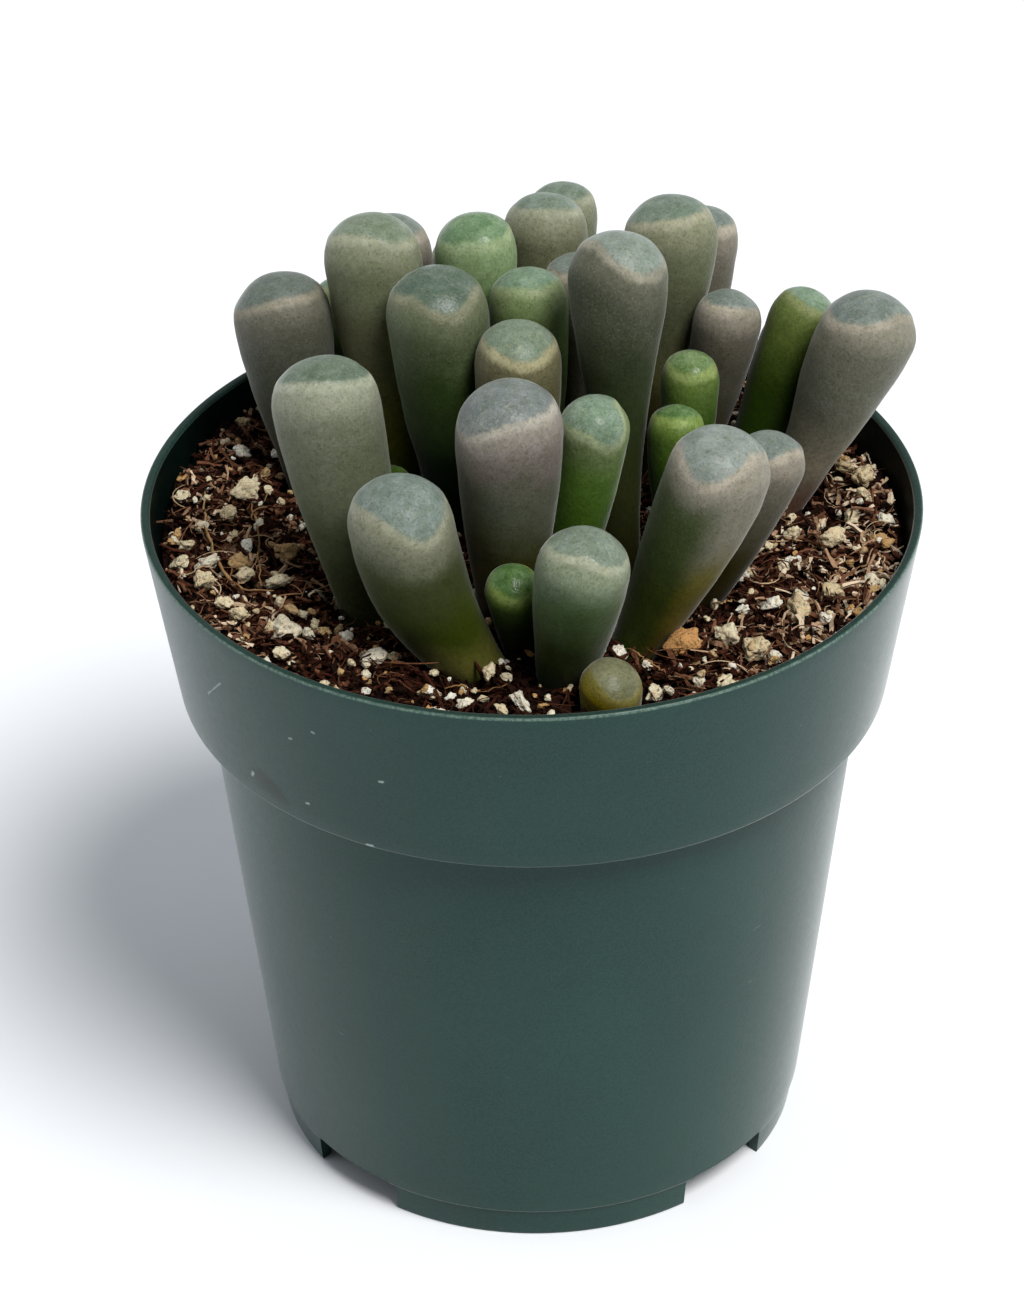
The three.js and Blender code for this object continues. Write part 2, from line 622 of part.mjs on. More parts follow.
// The crumbs of the list, then loose ones between them, wherever no leaf stands
function crumbPlaces() {
  const random = randomStream(CRUMB_SEED);
  const { count, smallest, largest } = LOOSE_CRUMBS;
  const places = [...CRUMBS];
  while (places.length < CRUMBS.length + count) {
    const turn = random() * 2 * Math.PI;
    const reach = LOOSE_CRUMBS.reach * Math.sqrt(random());
    const size = THREE.MathUtils.lerp(smallest, largest, random());
    const [x, y] = [reach * Math.cos(turn), reach * Math.sin(turn)];
    const apart = places.every(([px, py, other]) => Math.hypot(px - x, py - y) > other + size + GAP);
    if (apart && isClearOfLeaves(x, y, size)) {
      places.push([x, y, size]);
    }
  }
  return places;
}

// The mix with its crumbs, and with the room that the leaves and the crown take up cut out of it
function soilGeometry() {
  const random = randomStream(CRUMB_SEED);
  let soil = soilBody();
  for (const place of crumbPlaces()) {
    soil = soil.add(crumbSolid(place, random));
  }
  for (const leaf of LEAVES) {
    soil = soil.subtract(solidFrom(leafHole(leaf)));
  }
  return geometryOf(soil.subtract(crownSolid(CROWN_GAP)));
}

// The whole plant in its pot

const plant = new THREE.Group();

function addPiece(name, geometry, finish) {
  geometry.computeVertexNormals();
  const mesh = new THREE.Mesh(geometry, new THREE.MeshStandardMaterial(FINISH[finish]));
  mesh.name = name;
  plant.add(mesh);
}

addPiece('pot', potGeometry(), 'pot');
addPiece('potting_mix', soilGeometry(), 'soil');
addPiece('crown_and_roots', geometryOf(crownSolid(0)), 'crown');
LEAVES.forEach((leaf, i) => {
  addPiece(`leaf_${String(i + 1).padStart(2, '0')}`, leafGeometry(leaf), leaf.kind);
});

export default plant;
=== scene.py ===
import json
import math

import bmesh
import bpy
import numpy as np
from mathutils import Matrix, Vector


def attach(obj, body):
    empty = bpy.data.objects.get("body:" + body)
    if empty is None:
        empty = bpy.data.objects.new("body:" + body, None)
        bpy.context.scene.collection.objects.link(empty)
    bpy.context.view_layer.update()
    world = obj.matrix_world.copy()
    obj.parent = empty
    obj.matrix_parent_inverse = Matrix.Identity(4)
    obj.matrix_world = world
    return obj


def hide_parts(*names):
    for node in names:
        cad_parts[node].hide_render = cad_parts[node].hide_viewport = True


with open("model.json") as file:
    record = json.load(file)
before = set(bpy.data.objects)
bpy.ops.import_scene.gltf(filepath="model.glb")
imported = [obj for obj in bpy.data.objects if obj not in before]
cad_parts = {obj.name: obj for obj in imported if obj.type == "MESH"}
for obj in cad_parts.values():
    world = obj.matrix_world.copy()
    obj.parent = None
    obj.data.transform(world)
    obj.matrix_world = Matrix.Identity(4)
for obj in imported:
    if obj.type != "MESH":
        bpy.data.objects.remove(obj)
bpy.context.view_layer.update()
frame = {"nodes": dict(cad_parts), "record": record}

# Potted baby toes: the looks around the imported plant, its mix and its pot
#
# Lists and named sizes are in millimetres, and mesh points are in metres, +Z up, with -Y as the front.
# Compass angles run from +X to +Y, in degrees. Tones are as a screen shows them, from 0 to 255. Two numbers
# in round brackets are a range, or what a draw or a noise is made with where its comment says so.

MM = 0.001
WELD = 2e-6
TINY = 1e-6
FULL_TURN = 360
LEAF_NAMES = sorted(name for name in frame["nodes"] if name.startswith("leaf_"))

# The photograph's camera
FRAME_WIDTH = 1024
FRAME_HEIGHT = 1291
FOCAL_PIXELS = 4500
CAMERA_DISTANCE = 476.8
CAMERA_PITCH = 33.9
CAMERA_ROLL = -0.85
CAMERA_ASIDE = -2.1
CAMERA_ABOVE = 44.6
SENSOR = 36
CLIP_START = 0.01

# Sizes of the leaves' fine skin, with the size and depth of each of its waves
LEAF_SEED = 7
LEAF_SIDES = 12
MARGIN_RING = 7
MATCHED_POINTS = (0, 1, 4)
SKIN_SIDES = 56
BODY_STEP = 0.75
TOP_STEP = 0.32
SOIL_LEVEL = 66.5
LEAF_WAVES = [(6, 0.05), (2.2, 0.025)]
MARGIN_ROUNDING = 3.0
MARGIN_ROUNDS = 12
MARGIN_RIDGE = 0.04
MARGIN_WIDTH = 0.7
WINDOW_SINK = 0.06
WINDOW_EDGE = 1.5

# The pot's outline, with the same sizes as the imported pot
RIM_RADIUS = 38
POT_HEIGHT = 71.25
COLLAR_RADIUS = 35.1
COLLAR_BOTTOM = 52.2
COLLAR_INSIDE_BOTTOM = 53.9
LEDGE_RISE = 0.7
LEDGE_INSIDE_DROP = 0.5
BODY_TOP_RADIUS = 32.7
BODY_FOOT_RADIUS = 27.4
FOOT_RADIUS = 26.7
FOOT_HEIGHT = 3.2
FOOT_STEP = 0.3
FOOT_WALL = 1.1
WALL = 0.8
FLOOR_UNDERSIDE = 2.4
FLOOR_TOP = 3.2
AXIS_RADIUS = 0.01
LIP_ROUND = 0.4
LIP_FLAT = 0.1
POT_SIDES = 224
POT_STEP = 1.6
SHARP_ANGLE = 38
NOTCH_COUNT = 4
NOTCH_ANGLE = 24
NOTCH_HEIGHT = 3.75
NOTCH_DEPTH = 6.5
NOTCH_ROUND = 1.2
NOTCH_OVERRUN = 1

# The mix: its bed, where it meets the leaves, the room that a bit needs to the rim and to the leaves as
# shares of its size, and how it rests on what lies there already
BED_CELLS = 150
BED_RADIUS = 36.05
BED_BOTTOM = 3.5
FEET_LEVEL = SOIL_LEVEL + 0.5
RIM_ROOM = 0.8
LEAF_ROOM = 0.6
PEAK_SHARE = 0.4
HELD_SHARE = 0.4
MIX_CEILING = 68.7
MIX_SEED = 52
SEED_LIMIT = 10000


def tone(red, green, blue):
    """A colour as it looks on a screen, from 0 to 255, as the renderer's linear one"""
    shares = np.array([red, green, blue]) / 255
    linear = np.where(shares <= 0.04045, shares / 12.92, ((shares + 0.055) / 1.055) ** 2.4)
    return (*linear.tolist(), 1.0)


# Mesh helpers

def placed(name, data):
    """A new object in the scene"""
    made = bpy.data.objects.new(name, data)
    bpy.context.scene.collection.objects.link(made)
    return made


def mesh_piece(name, points, faces, values=None, smooth=True):
    """A mesh object from points in metres, with a number for each point under each name in values"""
    mesh = bpy.data.meshes.new(name)
    mesh.from_pydata(np.asarray(points).tolist(), [], [list(face) for face in faces])
    mesh.polygons.foreach_set("use_smooth", [smooth] * len(mesh.polygons))
    for key, numbers in (values or {}).items():
        layer = mesh.attributes.new(key, "FLOAT", "POINT")
        layer.data.foreach_set("value", np.asarray(numbers, dtype=np.float32))
    mesh.validate()
    mesh.update()
    piece = placed(name, mesh)
    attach(piece, "root")
    return piece


def ripple(points, size, random, waves=28):
    """Smooth random relief from about -1 to 1 with features of one size, as a sum of plane waves"""
    ways = random.normal(size=(waves, points.shape[1]))
    ways /= np.linalg.norm(ways, axis=1, keepdims=True)
    lengths = size * random.uniform(1.2, 2.6, waves)
    phases = random.uniform(0, 2 * np.pi, waves)
    return np.sin(points @ (ways / lengths[:, None]).T * 2 * np.pi + phases).sum(axis=1) / math.sqrt(waves)


def grid_faces(rows, sides):
    """Quads between rings of points that close on themselves"""
    here = np.arange(rows - 1)[:, None] * sides + np.arange(sides)[None, :]
    beside = np.arange(rows - 1)[:, None] * sides + (np.arange(sides)[None, :] + 1) % sides
    return np.stack([here, beside, beside + sides, here + sides], axis=-1).reshape(-1, 4)


def even_out(line, rounds):
    """Smooths a line of values where it lies, apart from its two ends"""
    for _ in range(rounds):
        line[1:-1] = (line[:-2] + 2 * line[1:-1] + line[2:]) / 4


def halved(quads):
    """Each quad as two triangles"""
    return np.concatenate([quads[:, [0, 1, 2]], quads[:, [0, 2, 3]]])


# Leaves

def ordered_ring(level, start):
    """The points of one ring in their order around it"""
    ring = [start]
    while len(ring) < len(level):
        near = [edge.other_vert(ring[-1]) for edge in ring[-1].link_edges]
        ring.append(next(v for v in near if v in level and v not in ring))
    return ring


def turned_anticlockwise(ring, up):
    middle = sum((v.co for v in ring), Vector()) / len(ring)
    turn = (ring[0].co - middle).cross(ring[1].co - middle).dot(up)
    return ring if turn > 0 else [ring[0], *ring[:0:-1]]


def turned_like(ring, below):
    """A ring started and turned so that each of its points stands over the same one of the ring below"""
    def joined(a, b):
        return any(edge.other_vert(a) is b for edge in a.link_edges)

    for way in (ring, [ring[0], *ring[:0:-1]]):
        for shift in range(len(way)):
            tried = way[shift:] + way[:shift]
            after = tried[1:] + tried[:1]
            if all(joined(below[i], tried[i]) and joined(below[i], after[i]) for i in MATCHED_POINTS):
                return tried
    raise ValueError("a leaf's rings could not be matched")


def leaf_rings(node):
    """The rings of points of a packed leaf, from its foot to its window, and its two end points"""
    shape = bmesh.new()
    shape.from_mesh(node.data)
    bmesh.ops.remove_doubles(shape, verts=shape.verts, dist=WELD)
    ends = sorted((v for v in shape.verts if len(v.link_edges) == LEAF_SIDES), key=lambda v: v.co.z)
    foot, top = ends[0], ends[-1]
    seen = {foot}
    level = {foot}
    rings = []
    while len(seen) < len(shape.verts) - 1:
        level = {edge.other_vert(v) for v in level for edge in v.link_edges} - seen
        seen |= level
        ring = ordered_ring(level, min(level, key=lambda v: v.index))
        if rings:
            ring = turned_like(ring, rings[-1])
        else:
            ring = turned_anticlockwise(ring, top.co - foot.co)
        rings.append(ring)
    points = np.array([[v.co[:] for v in ring] for ring in rings]) / MM
    found = points, np.array(foot.co) / MM, np.array(top.co) / MM
    shape.free()
    return found


def rounded(rings, sides):
    """Rings with more points, on the smooth closed curve through the ones they have"""
    waves = np.fft.rfft(rings, axis=1)
    waves[:, rings.shape[1] // 2] *= 0.5
    return np.fft.irfft(waves, sides, axis=1) * sides / rings.shape[1]


def leaf_skin(node):
    """The fine surface of a leaf: rows of points, its ends, and how far each point is past the margin"""
    rings, foot, top = leaf_rings(node)
    rings = rounded(rings, SKIN_SIDES)
    across = np.roll(rings, SKIN_SIDES // 2, axis=1)
    poles = [np.repeat(point[None, None], SKIN_SIDES, axis=1) for point in (foot, top)]
    knots = np.concatenate([across[:1], poles[0], rings, poles[1], across[-1:]])
    gaps = np.linalg.norm(np.diff(knots, axis=0), axis=2).mean(axis=1)
    at = np.concatenate([[0], np.cumsum(gaps)])
    slopes = np.zeros_like(knots)
    for k in range(1, len(knots) - 1):
        before = (knots[k] - knots[k - 1]) / gaps[k - 1]
        after = (knots[k + 1] - knots[k]) / gaps[k]
        slopes[k] = (before * gaps[k] + after * gaps[k - 1]) / (gaps[k] + gaps[k - 1])

    # Rows on the smooth curve through the rings, closer together from two rings below the margin
    rows = []
    margin_knot = MARGIN_RING + 2
    for k in range(1, len(knots) - 2):
        length = at[k + 1] - at[k]
        step = TOP_STEP if k >= margin_knot - 2 else BODY_STEP
        count = max(2, round(length / step))
        if k == margin_knot:
            margin_row = len(rows)
        for t in np.arange(count) / count:
            row = (1 + 2 * t) * (1 - t) ** 2 * knots[k] + t * (1 - t) ** 2 * length * slopes[k]
            row = row + t * t * (3 - 2 * t) * knots[k + 1] + t * t * (t - 1) * length * slopes[k + 1]
            rows.append(row)
    rows = np.array(rows[1:])
    first = margin_row - round(MARGIN_ROUNDING / BODY_STEP)
    even_out(rows[first - 1:], MARGIN_ROUNDS)
    steps = np.linalg.norm(np.diff(rows, axis=0), axis=2)
    run = np.concatenate([np.zeros((1, SKIN_SIDES)), np.cumsum(steps, axis=0)])
    return rows, foot, top, run - run[margin_row - 1]


def skin_normals(rows):
    """The outward direction at each point of rows of rings"""
    around = np.roll(rows, -1, axis=1) - np.roll(rows, 1, axis=1)
    along = np.gradient(rows, axis=0)
    normals = np.cross(around, along)
    return normals / np.maximum(np.linalg.norm(normals, axis=2, keepdims=True), TINY)


def slot_of(name):
    return next(part["material_slot"] for part in frame["record"]["subparts"] if part["node"] == name)


def leaf_piece(name, random):
    rows, foot, top, past = leaf_skin(frame["nodes"][name])
    count = rows.shape[0] * SKIN_SIDES
    points = np.concatenate([rows.reshape(-1, 3), [foot, top]])
    outward = skin_normals(rows).reshape(-1, 3)
    rims = past.reshape(-1)
    inside = np.clip(rims / WINDOW_EDGE, 0, 1)
    relief = sum(depth * ripple(points[:count], size, random) for size, depth in LEAF_WAVES)
    relief += MARGIN_RIDGE * np.exp(-(rims / MARGIN_WIDTH) ** 2)
    relief -= WINDOW_SINK * inside ** 2 * (3 - 2 * inside)
    points[:count] += outward * relief[:, None]
    turns = np.arange(SKIN_SIDES)
    last = count - SKIN_SIDES
    ends = [[count, (i + 1) % SKIN_SIDES, i] for i in turns]
    ends += [[count + 1, last + i, last + (i + 1) % SKIN_SIDES] for i in turns]
    faces = grid_faces(rows.shape[0], SKIN_SIDES).tolist() + ends
    margin_height = rows[np.abs(past).argmin(axis=0)[0], :, 2].mean()
    rise = (points[:, 2] - SOIL_LEVEL) / (margin_height - SOIL_LEVEL)
    values = {"rise": np.clip(rise, 0, 1), "rim": np.concatenate([rims, [rims.min(), rims.max()]])}
    piece = mesh_piece(f"{name}_skin", points * MM, faces, values)
    piece.data.materials.append(leaf_material(name))
    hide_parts(name)


# Material helpers

def add_node(tree, kind, inputs=None, **settings):
    made = tree.nodes.new(kind)
    for key, value in settings.items():
        setattr(made, key, value)
    for key, value in (inputs or {}).items():
        if isinstance(value, bpy.types.NodeSocket):
            tree.links.new(value, made.inputs[key])
        else:
            made.inputs[key].default_value = value
    return made


def new_material(name, **surface):
    """A material with a plain surface shader, whose even values are set straight on its sockets"""
    material = bpy.data.materials.new(name)
    material.use_nodes = True
    tree = material.node_tree
    shader = tree.nodes["Principled BSDF"]
    for key, value in surface.items():
        shader.inputs[key.replace("_", " ")].default_value = value
    return material, tree, shader


def plug(tree, node, sockets):
    """Links a value to each named socket of a node"""
    for key, value in sockets.items():
        tree.links.new(value, node.inputs[key])


def place_of(tree):
    """Where a point lies, fixed to the part"""
    return add_node(tree, "ShaderNodeTexCoord").outputs["Object"]


def value_of(tree, name):
    return add_node(tree, "ShaderNodeAttribute", attribute_name=name).outputs["Fac"]


def axis_of(tree, place, axis):
    return add_node(tree, "ShaderNodeSeparateXYZ", {"Vector": place}).outputs[axis]


def times(tree, first, second):
    return add_node(tree, "ShaderNodeMath", {0: first, 1: second}, operation="MULTIPLY").outputs[0]


def added(tree, base, value, share):
    """A value with a share of another added to it"""
    inputs = {0: value, 1: share, 2: base}
    return add_node(tree, "ShaderNodeMath", inputs, operation="MULTIPLY_ADD").outputs[0]


def centred(tree, value):
    """A value from 0 to 1 moved to lie round 0"""
    return add_node(tree, "ShaderNodeMath", {0: value, 1: 0.5}, operation="SUBTRACT").outputs[0]


def vector_step(tree, operation, inputs, output="Vector"):
    return add_node(tree, "ShaderNodeVectorMath", inputs, operation=operation).outputs[output]


def spread(tree, value, low, high, to_low=0.0, to_high=1.0):
    """A value stretched softly from one range to another"""
    return add_node(tree, "ShaderNodeMapRange", {
        "Value": value, "From Min": low, "From Max": high, "To Min": to_low, "To Max": to_high,
    }, interpolation_type="SMOOTHSTEP").outputs["Result"]


def noise(tree, size, detail=2.0, roughness=0.5, distortion=0.0, stretch=None):
    """Noise from 0 to 1 with features of a size in millimetres, fixed to the part"""
    place = place_of(tree)
    if stretch:
        place = add_node(tree, "ShaderNodeMapping", {"Vector": place, "Scale": stretch}).outputs["Vector"]
    return add_node(tree, "ShaderNodeTexNoise", {
        "Vector": place, "Scale": 1 / (size * MM), "Detail": detail, "Roughness": roughness,
        "Distortion": distortion,
    }).outputs["Fac"]


def patches(tree, kind, low=0.0, high=1.0):
    """Soft-edged patches, from low to high as their noise runs through their range"""
    return spread(tree, noise(tree, *kind["noise"]), *kind["range"], low, high)


def mixed(tree, share, first, second, blend="MIX"):
    """Two colours mixed by a share, each a socket or a tone"""
    made = add_node(tree, "ShaderNodeMix", {"Factor": share}, data_type="RGBA", blend_type=blend)
    for socket, value in ((made.inputs[6], first), (made.inputs[7], second)):
        if isinstance(value, bpy.types.NodeSocket):
            tree.links.new(value, socket)
        else:
            socket.default_value = tone(*value)
    return made.outputs[2]


def layered(tree, colour, layers, blend="MIX"):
    """A colour with patches of other tones over it"""
    for layer in layers:
        colour = mixed(tree, patches(tree, layer, 0.0, layer["share"]), colour, layer["tone"], blend)
    return colour


def ramp(tree, value, stops):
    """A colour that runs through tones, each with its place from 0 to 1"""
    made = add_node(tree, "ShaderNodeValToRGB", {"Fac": value})
    band = made.color_ramp
    band.interpolation = "EASE"
    while len(band.elements) < len(stops):
        band.elements.new(1.0)
    for element, (place, colour) in zip(band.elements, stops):
        element.position = place
        element.color = tone(*colour)
    return made.outputs["Color"]


def bumps(tree, height, depth, under=None):
    """Surface normals for a height from 0 to 1, with its depth in millimetres"""
    inputs = {"Height": height, "Distance": depth * MM, "Strength": 1.0}
    if under:
        inputs["Normal"] = under
    return add_node(tree, "ShaderNodeBump", inputs).outputs["Normal"]


# What makes a mark's edge ragged: the noise that the distance from its middle is multiplied by, that noise's
# share and the least it comes to, and the part of the width where the mark is full
RAGGED = {"noise": (0.4, 3.0, 0.7), "share": 1.6, "least": 0.3, "core": 0.3}


def mark_share(tree, mark):
    """How much of one short, ragged mark there is, by the distance from the line along its middle"""
    start = Vector(mark["from"]) * MM
    way = (Vector(mark["to"]) - Vector(mark["from"])) * MM
    off = vector_step(tree, "SUBTRACT", {0: place_of(tree), 1: start})
    along = vector_step(tree, "DOT_PRODUCT", {0: off, 1: way / way.length_squared}, "Value")
    along = add_node(tree, "ShaderNodeClamp", {"Value": along}).outputs["Result"]
    near = vector_step(tree, "SCALE", {0: way, "Scale": along})
    gap = vector_step(tree, "DISTANCE", {0: off, 1: near}, "Value")
    gap = times(tree, gap, added(tree, RAGGED["least"], noise(tree, *RAGGED["noise"]), RAGGED["share"]))
    width = mark["width"] * MM
    return spread(tree, gap, width, width * RAGGED["core"], 0.0, mark["share"])


# The skin of the leaves. A noise is its size, detail, roughness, distortion and stretch. The margin's ranges
# are in millimetres past the window's edge.
BODY_PLACES = {"foot": 0.02, "low": 0.3, "mid": 0.62, "high": 0.95}
BLOTCHES = {"noise": (5.0, 3.0), "body": 0.35, "margin": 0.8}
FRINGE = {"noise": (0.7, 3.0, 0.7), "share": 0.9}
MARGIN = {"below": (-1.1, -0.2), "above": (0.7, 0.0), "bloom": (-5.0, -0.4), "window": (-0.25, 0.8)}
BREAKS = {"noise": (3.2,), "range": (0.25, 0.7), "least": 0.35}
CLOUD = {"noise": (1.6, 3.0, 0.6), "range": (0.3, 0.75)}
SMEAR = {"noise": (1.1, 4.0, 0.65, 1.5), "range": (0.56, 0.78), "share": 0.55}
SKIN_GRAIN = {"noise": (0.42, 2.0, 0.7), "roughness": 0.12, "depth": 0.05}
SKIN_LAYERS = [
    {"noise": (0.9, 3.0, 0.6), "range": (0.35, 0.7), "share": 0.3, "tone": (186, 188, 150)},
    {"noise": (0.42, 2.0, 0.7), "range": (0.3, 0.7), "share": 0.18, "tone": (98, 102, 76)},
    {"noise": (0.24, 2.0, 0.6), "range": (0.5, 0.7), "share": 0.34, "tone": (94, 94, 72)},
]
SPECKS = {"noise": (0.2, 1.0), "range": (0.52, 0.74), "rise": (0.5, 1.0), "share": 0.14}
SCAR = {"tone": (176, 174, 150), "rise": 0.8}

# How much smoother the window is than the body, how far light goes in on the body and in the window, and
# where the painted shade on a leaf's flank begins and is full, past the window's edge
WINDOW_GLOSS = 0.22
CLEARNESS = (0.22, 0.4)
PAINTED_SHADE_FADE = (-0.5, -3.5)


def leaf_material(name):
    """Leaf skin: olive or brown at the foot and darkened low down as painted shade, a waxy body, a pale
    margin and a clear, glossier window
    """
    look = {**SHARED_LOOK, **KINDS[slot_of(name)], **LOOKS.get(name, {})}
    material, tree, shader = new_material(
        f"{name}_skin", Subsurface_Scale=1.6 * MM, Subsurface_Radius=(0.9, 1.0, 0.35), IOR=1.42,
        Specular_IOR_Level=0.22, Sheen_Weight=0.23, Sheen_Roughness=0.3,
    )
    wander = centred(tree, noise(tree, *BLOTCHES["noise"]))
    grain = noise(tree, *SKIN_GRAIN["noise"])

    # The body's colour up the leaf, with a broad patchiness, darkened low down as painted shade between
    # leaves
    height = added(tree, value_of(tree, "rise"), wander, BLOTCHES["body"])
    colour = ramp(tree, height, [(place, look[key]) for key, place in BODY_PLACES.items()])
    # Painted shade: a darker, greener flank on the side turned from the light
    if "flank" in look:
        colour = mixed(tree, painted_shade_share(tree, look["flank"]), colour, look["flank"]["tone"])

    # The pale margin, brightest on the line and fading down the body
    rim = added(tree, value_of(tree, "rim"), wander, BLOTCHES["margin"])
    rim = added(tree, rim, centred(tree, noise(tree, *FRINGE["noise"])), FRINGE["share"])
    line = times(tree, spread(tree, rim, *MARGIN["below"]), spread(tree, rim, *MARGIN["above"]))
    line = times(tree, line, patches(tree, BREAKS, BREAKS["least"] * look["line"], look["line"]))
    colour = mixed(tree, spread(tree, rim, *MARGIN["bloom"], 0.0, look["bloom"]), colour, look["margin"])

    # The window, with cloudy parts and pale smears
    clear = spread(tree, rim, *(edge * look["softness"] for edge in MARGIN["window"]))
    colour = mixed(tree, clear, colour, mixed(tree, patches(tree, CLOUD), look["window"], look["haze"]))
    smear = times(tree, patches(tree, SMEAR, 0.0, SMEAR["share"]), clear)
    colour = mixed(tree, smear, colour, look["margin"])
    colour = mixed(tree, line, colour, look["margin"])

    # Fine grains of the skin, dry specks high up, and healed scars
    colour = layered(tree, colour, SKIN_LAYERS, "MULTIPLY")
    dry = spread(tree, height, *SPECKS["rise"], 0.0, SPECKS["share"])
    colour = mixed(tree, times(tree, patches(tree, SPECKS), dry), colour, look["margin"])
    relief = grain
    for mark in SCARS.get(name, []):
        share = mark_share(tree, mark)
        colour = mixed(tree, share, colour, SCAR["tone"])
        relief = added(tree, relief, share, SCAR["rise"])
    gloss = spread(tree, clear, 0.0, 1.0, look["dullness"], look["dullness"] - WINDOW_GLOSS)
    plug(tree, shader, {
        "Base Color": colour, "Roughness": added(tree, gloss, grain, SKIN_GRAIN["roughness"]),
        "Subsurface Weight": spread(tree, clear, 0.0, 1.0, *CLEARNESS),
        "Normal": bumps(tree, relief, SKIN_GRAIN["depth"]),
    })
    return material


def painted_shade_share(tree, flank):
    """How much painted shade a leaf shows on its one side turned from the light, by the way its surface faces
    """
    turn = math.radians(flank["turn"])
    normal = add_node(tree, "ShaderNodeNewGeometry").outputs["Normal"]
    facing = vector_step(tree, "DOT_PRODUCT", {0: normal, 1: (math.cos(turn), math.sin(turn), 0)}, "Value")
    aside = spread(tree, facing, *flank["range"], 0.0, flank["share"])
    return times(tree, aside, spread(tree, value_of(tree, "rim"), *PAINTED_SHADE_FADE))


# How each kind of leaf is coloured, and how single leaves differ from their kind. "bloom" is the pale shade
# below the margin, "line" the strength of the margin itself, and "softness" the width of the window's edge.
# The foot and low tones hold painted shade between the leaves as well as the leaves' own darker bases.
SHARED_LOOK = {"line": 0.85, "softness": 1.0}
KINDS = {
    "leaf_grey": {
        "foot": (50, 50, 1), "low": (52, 60, 4), "mid": (82, 90, 58), "high": (102, 108, 82),
        "margin": (166, 168, 148), "window": (100, 116, 102), "haze": (124, 138, 128), "bloom": 0.32,
        "dullness": 0.52,
    },
    "leaf_mauve": {
        "foot": (48, 38, 2), "low": (54, 50, 8), "mid": (85, 83, 69), "high": (106, 100, 91),
        "margin": (172, 164, 150), "window": (102, 114, 108), "haze": (126, 136, 132), "bloom": 0.3,
        "dullness": 0.52,
    },
    "leaf_green": {
        "foot": (26, 40, 0), "low": (44, 66, 0), "mid": (66, 94, 24), "high": (96, 118, 62),
        "margin": (162, 170, 128), "window": (106, 130, 108), "haze": (130, 150, 130), "bloom": 0.28,
        "dullness": 0.47,
    },
    "leaf_young": {
        "foot": (12, 32, 0), "low": (22, 48, 0), "mid": (42, 70, 2), "high": (66, 94, 22),
        "margin": (142, 162, 90), "window": (66, 98, 48), "haze": (108, 136, 92), "bloom": 0.2,
        "dullness": 0.38,
    },
}
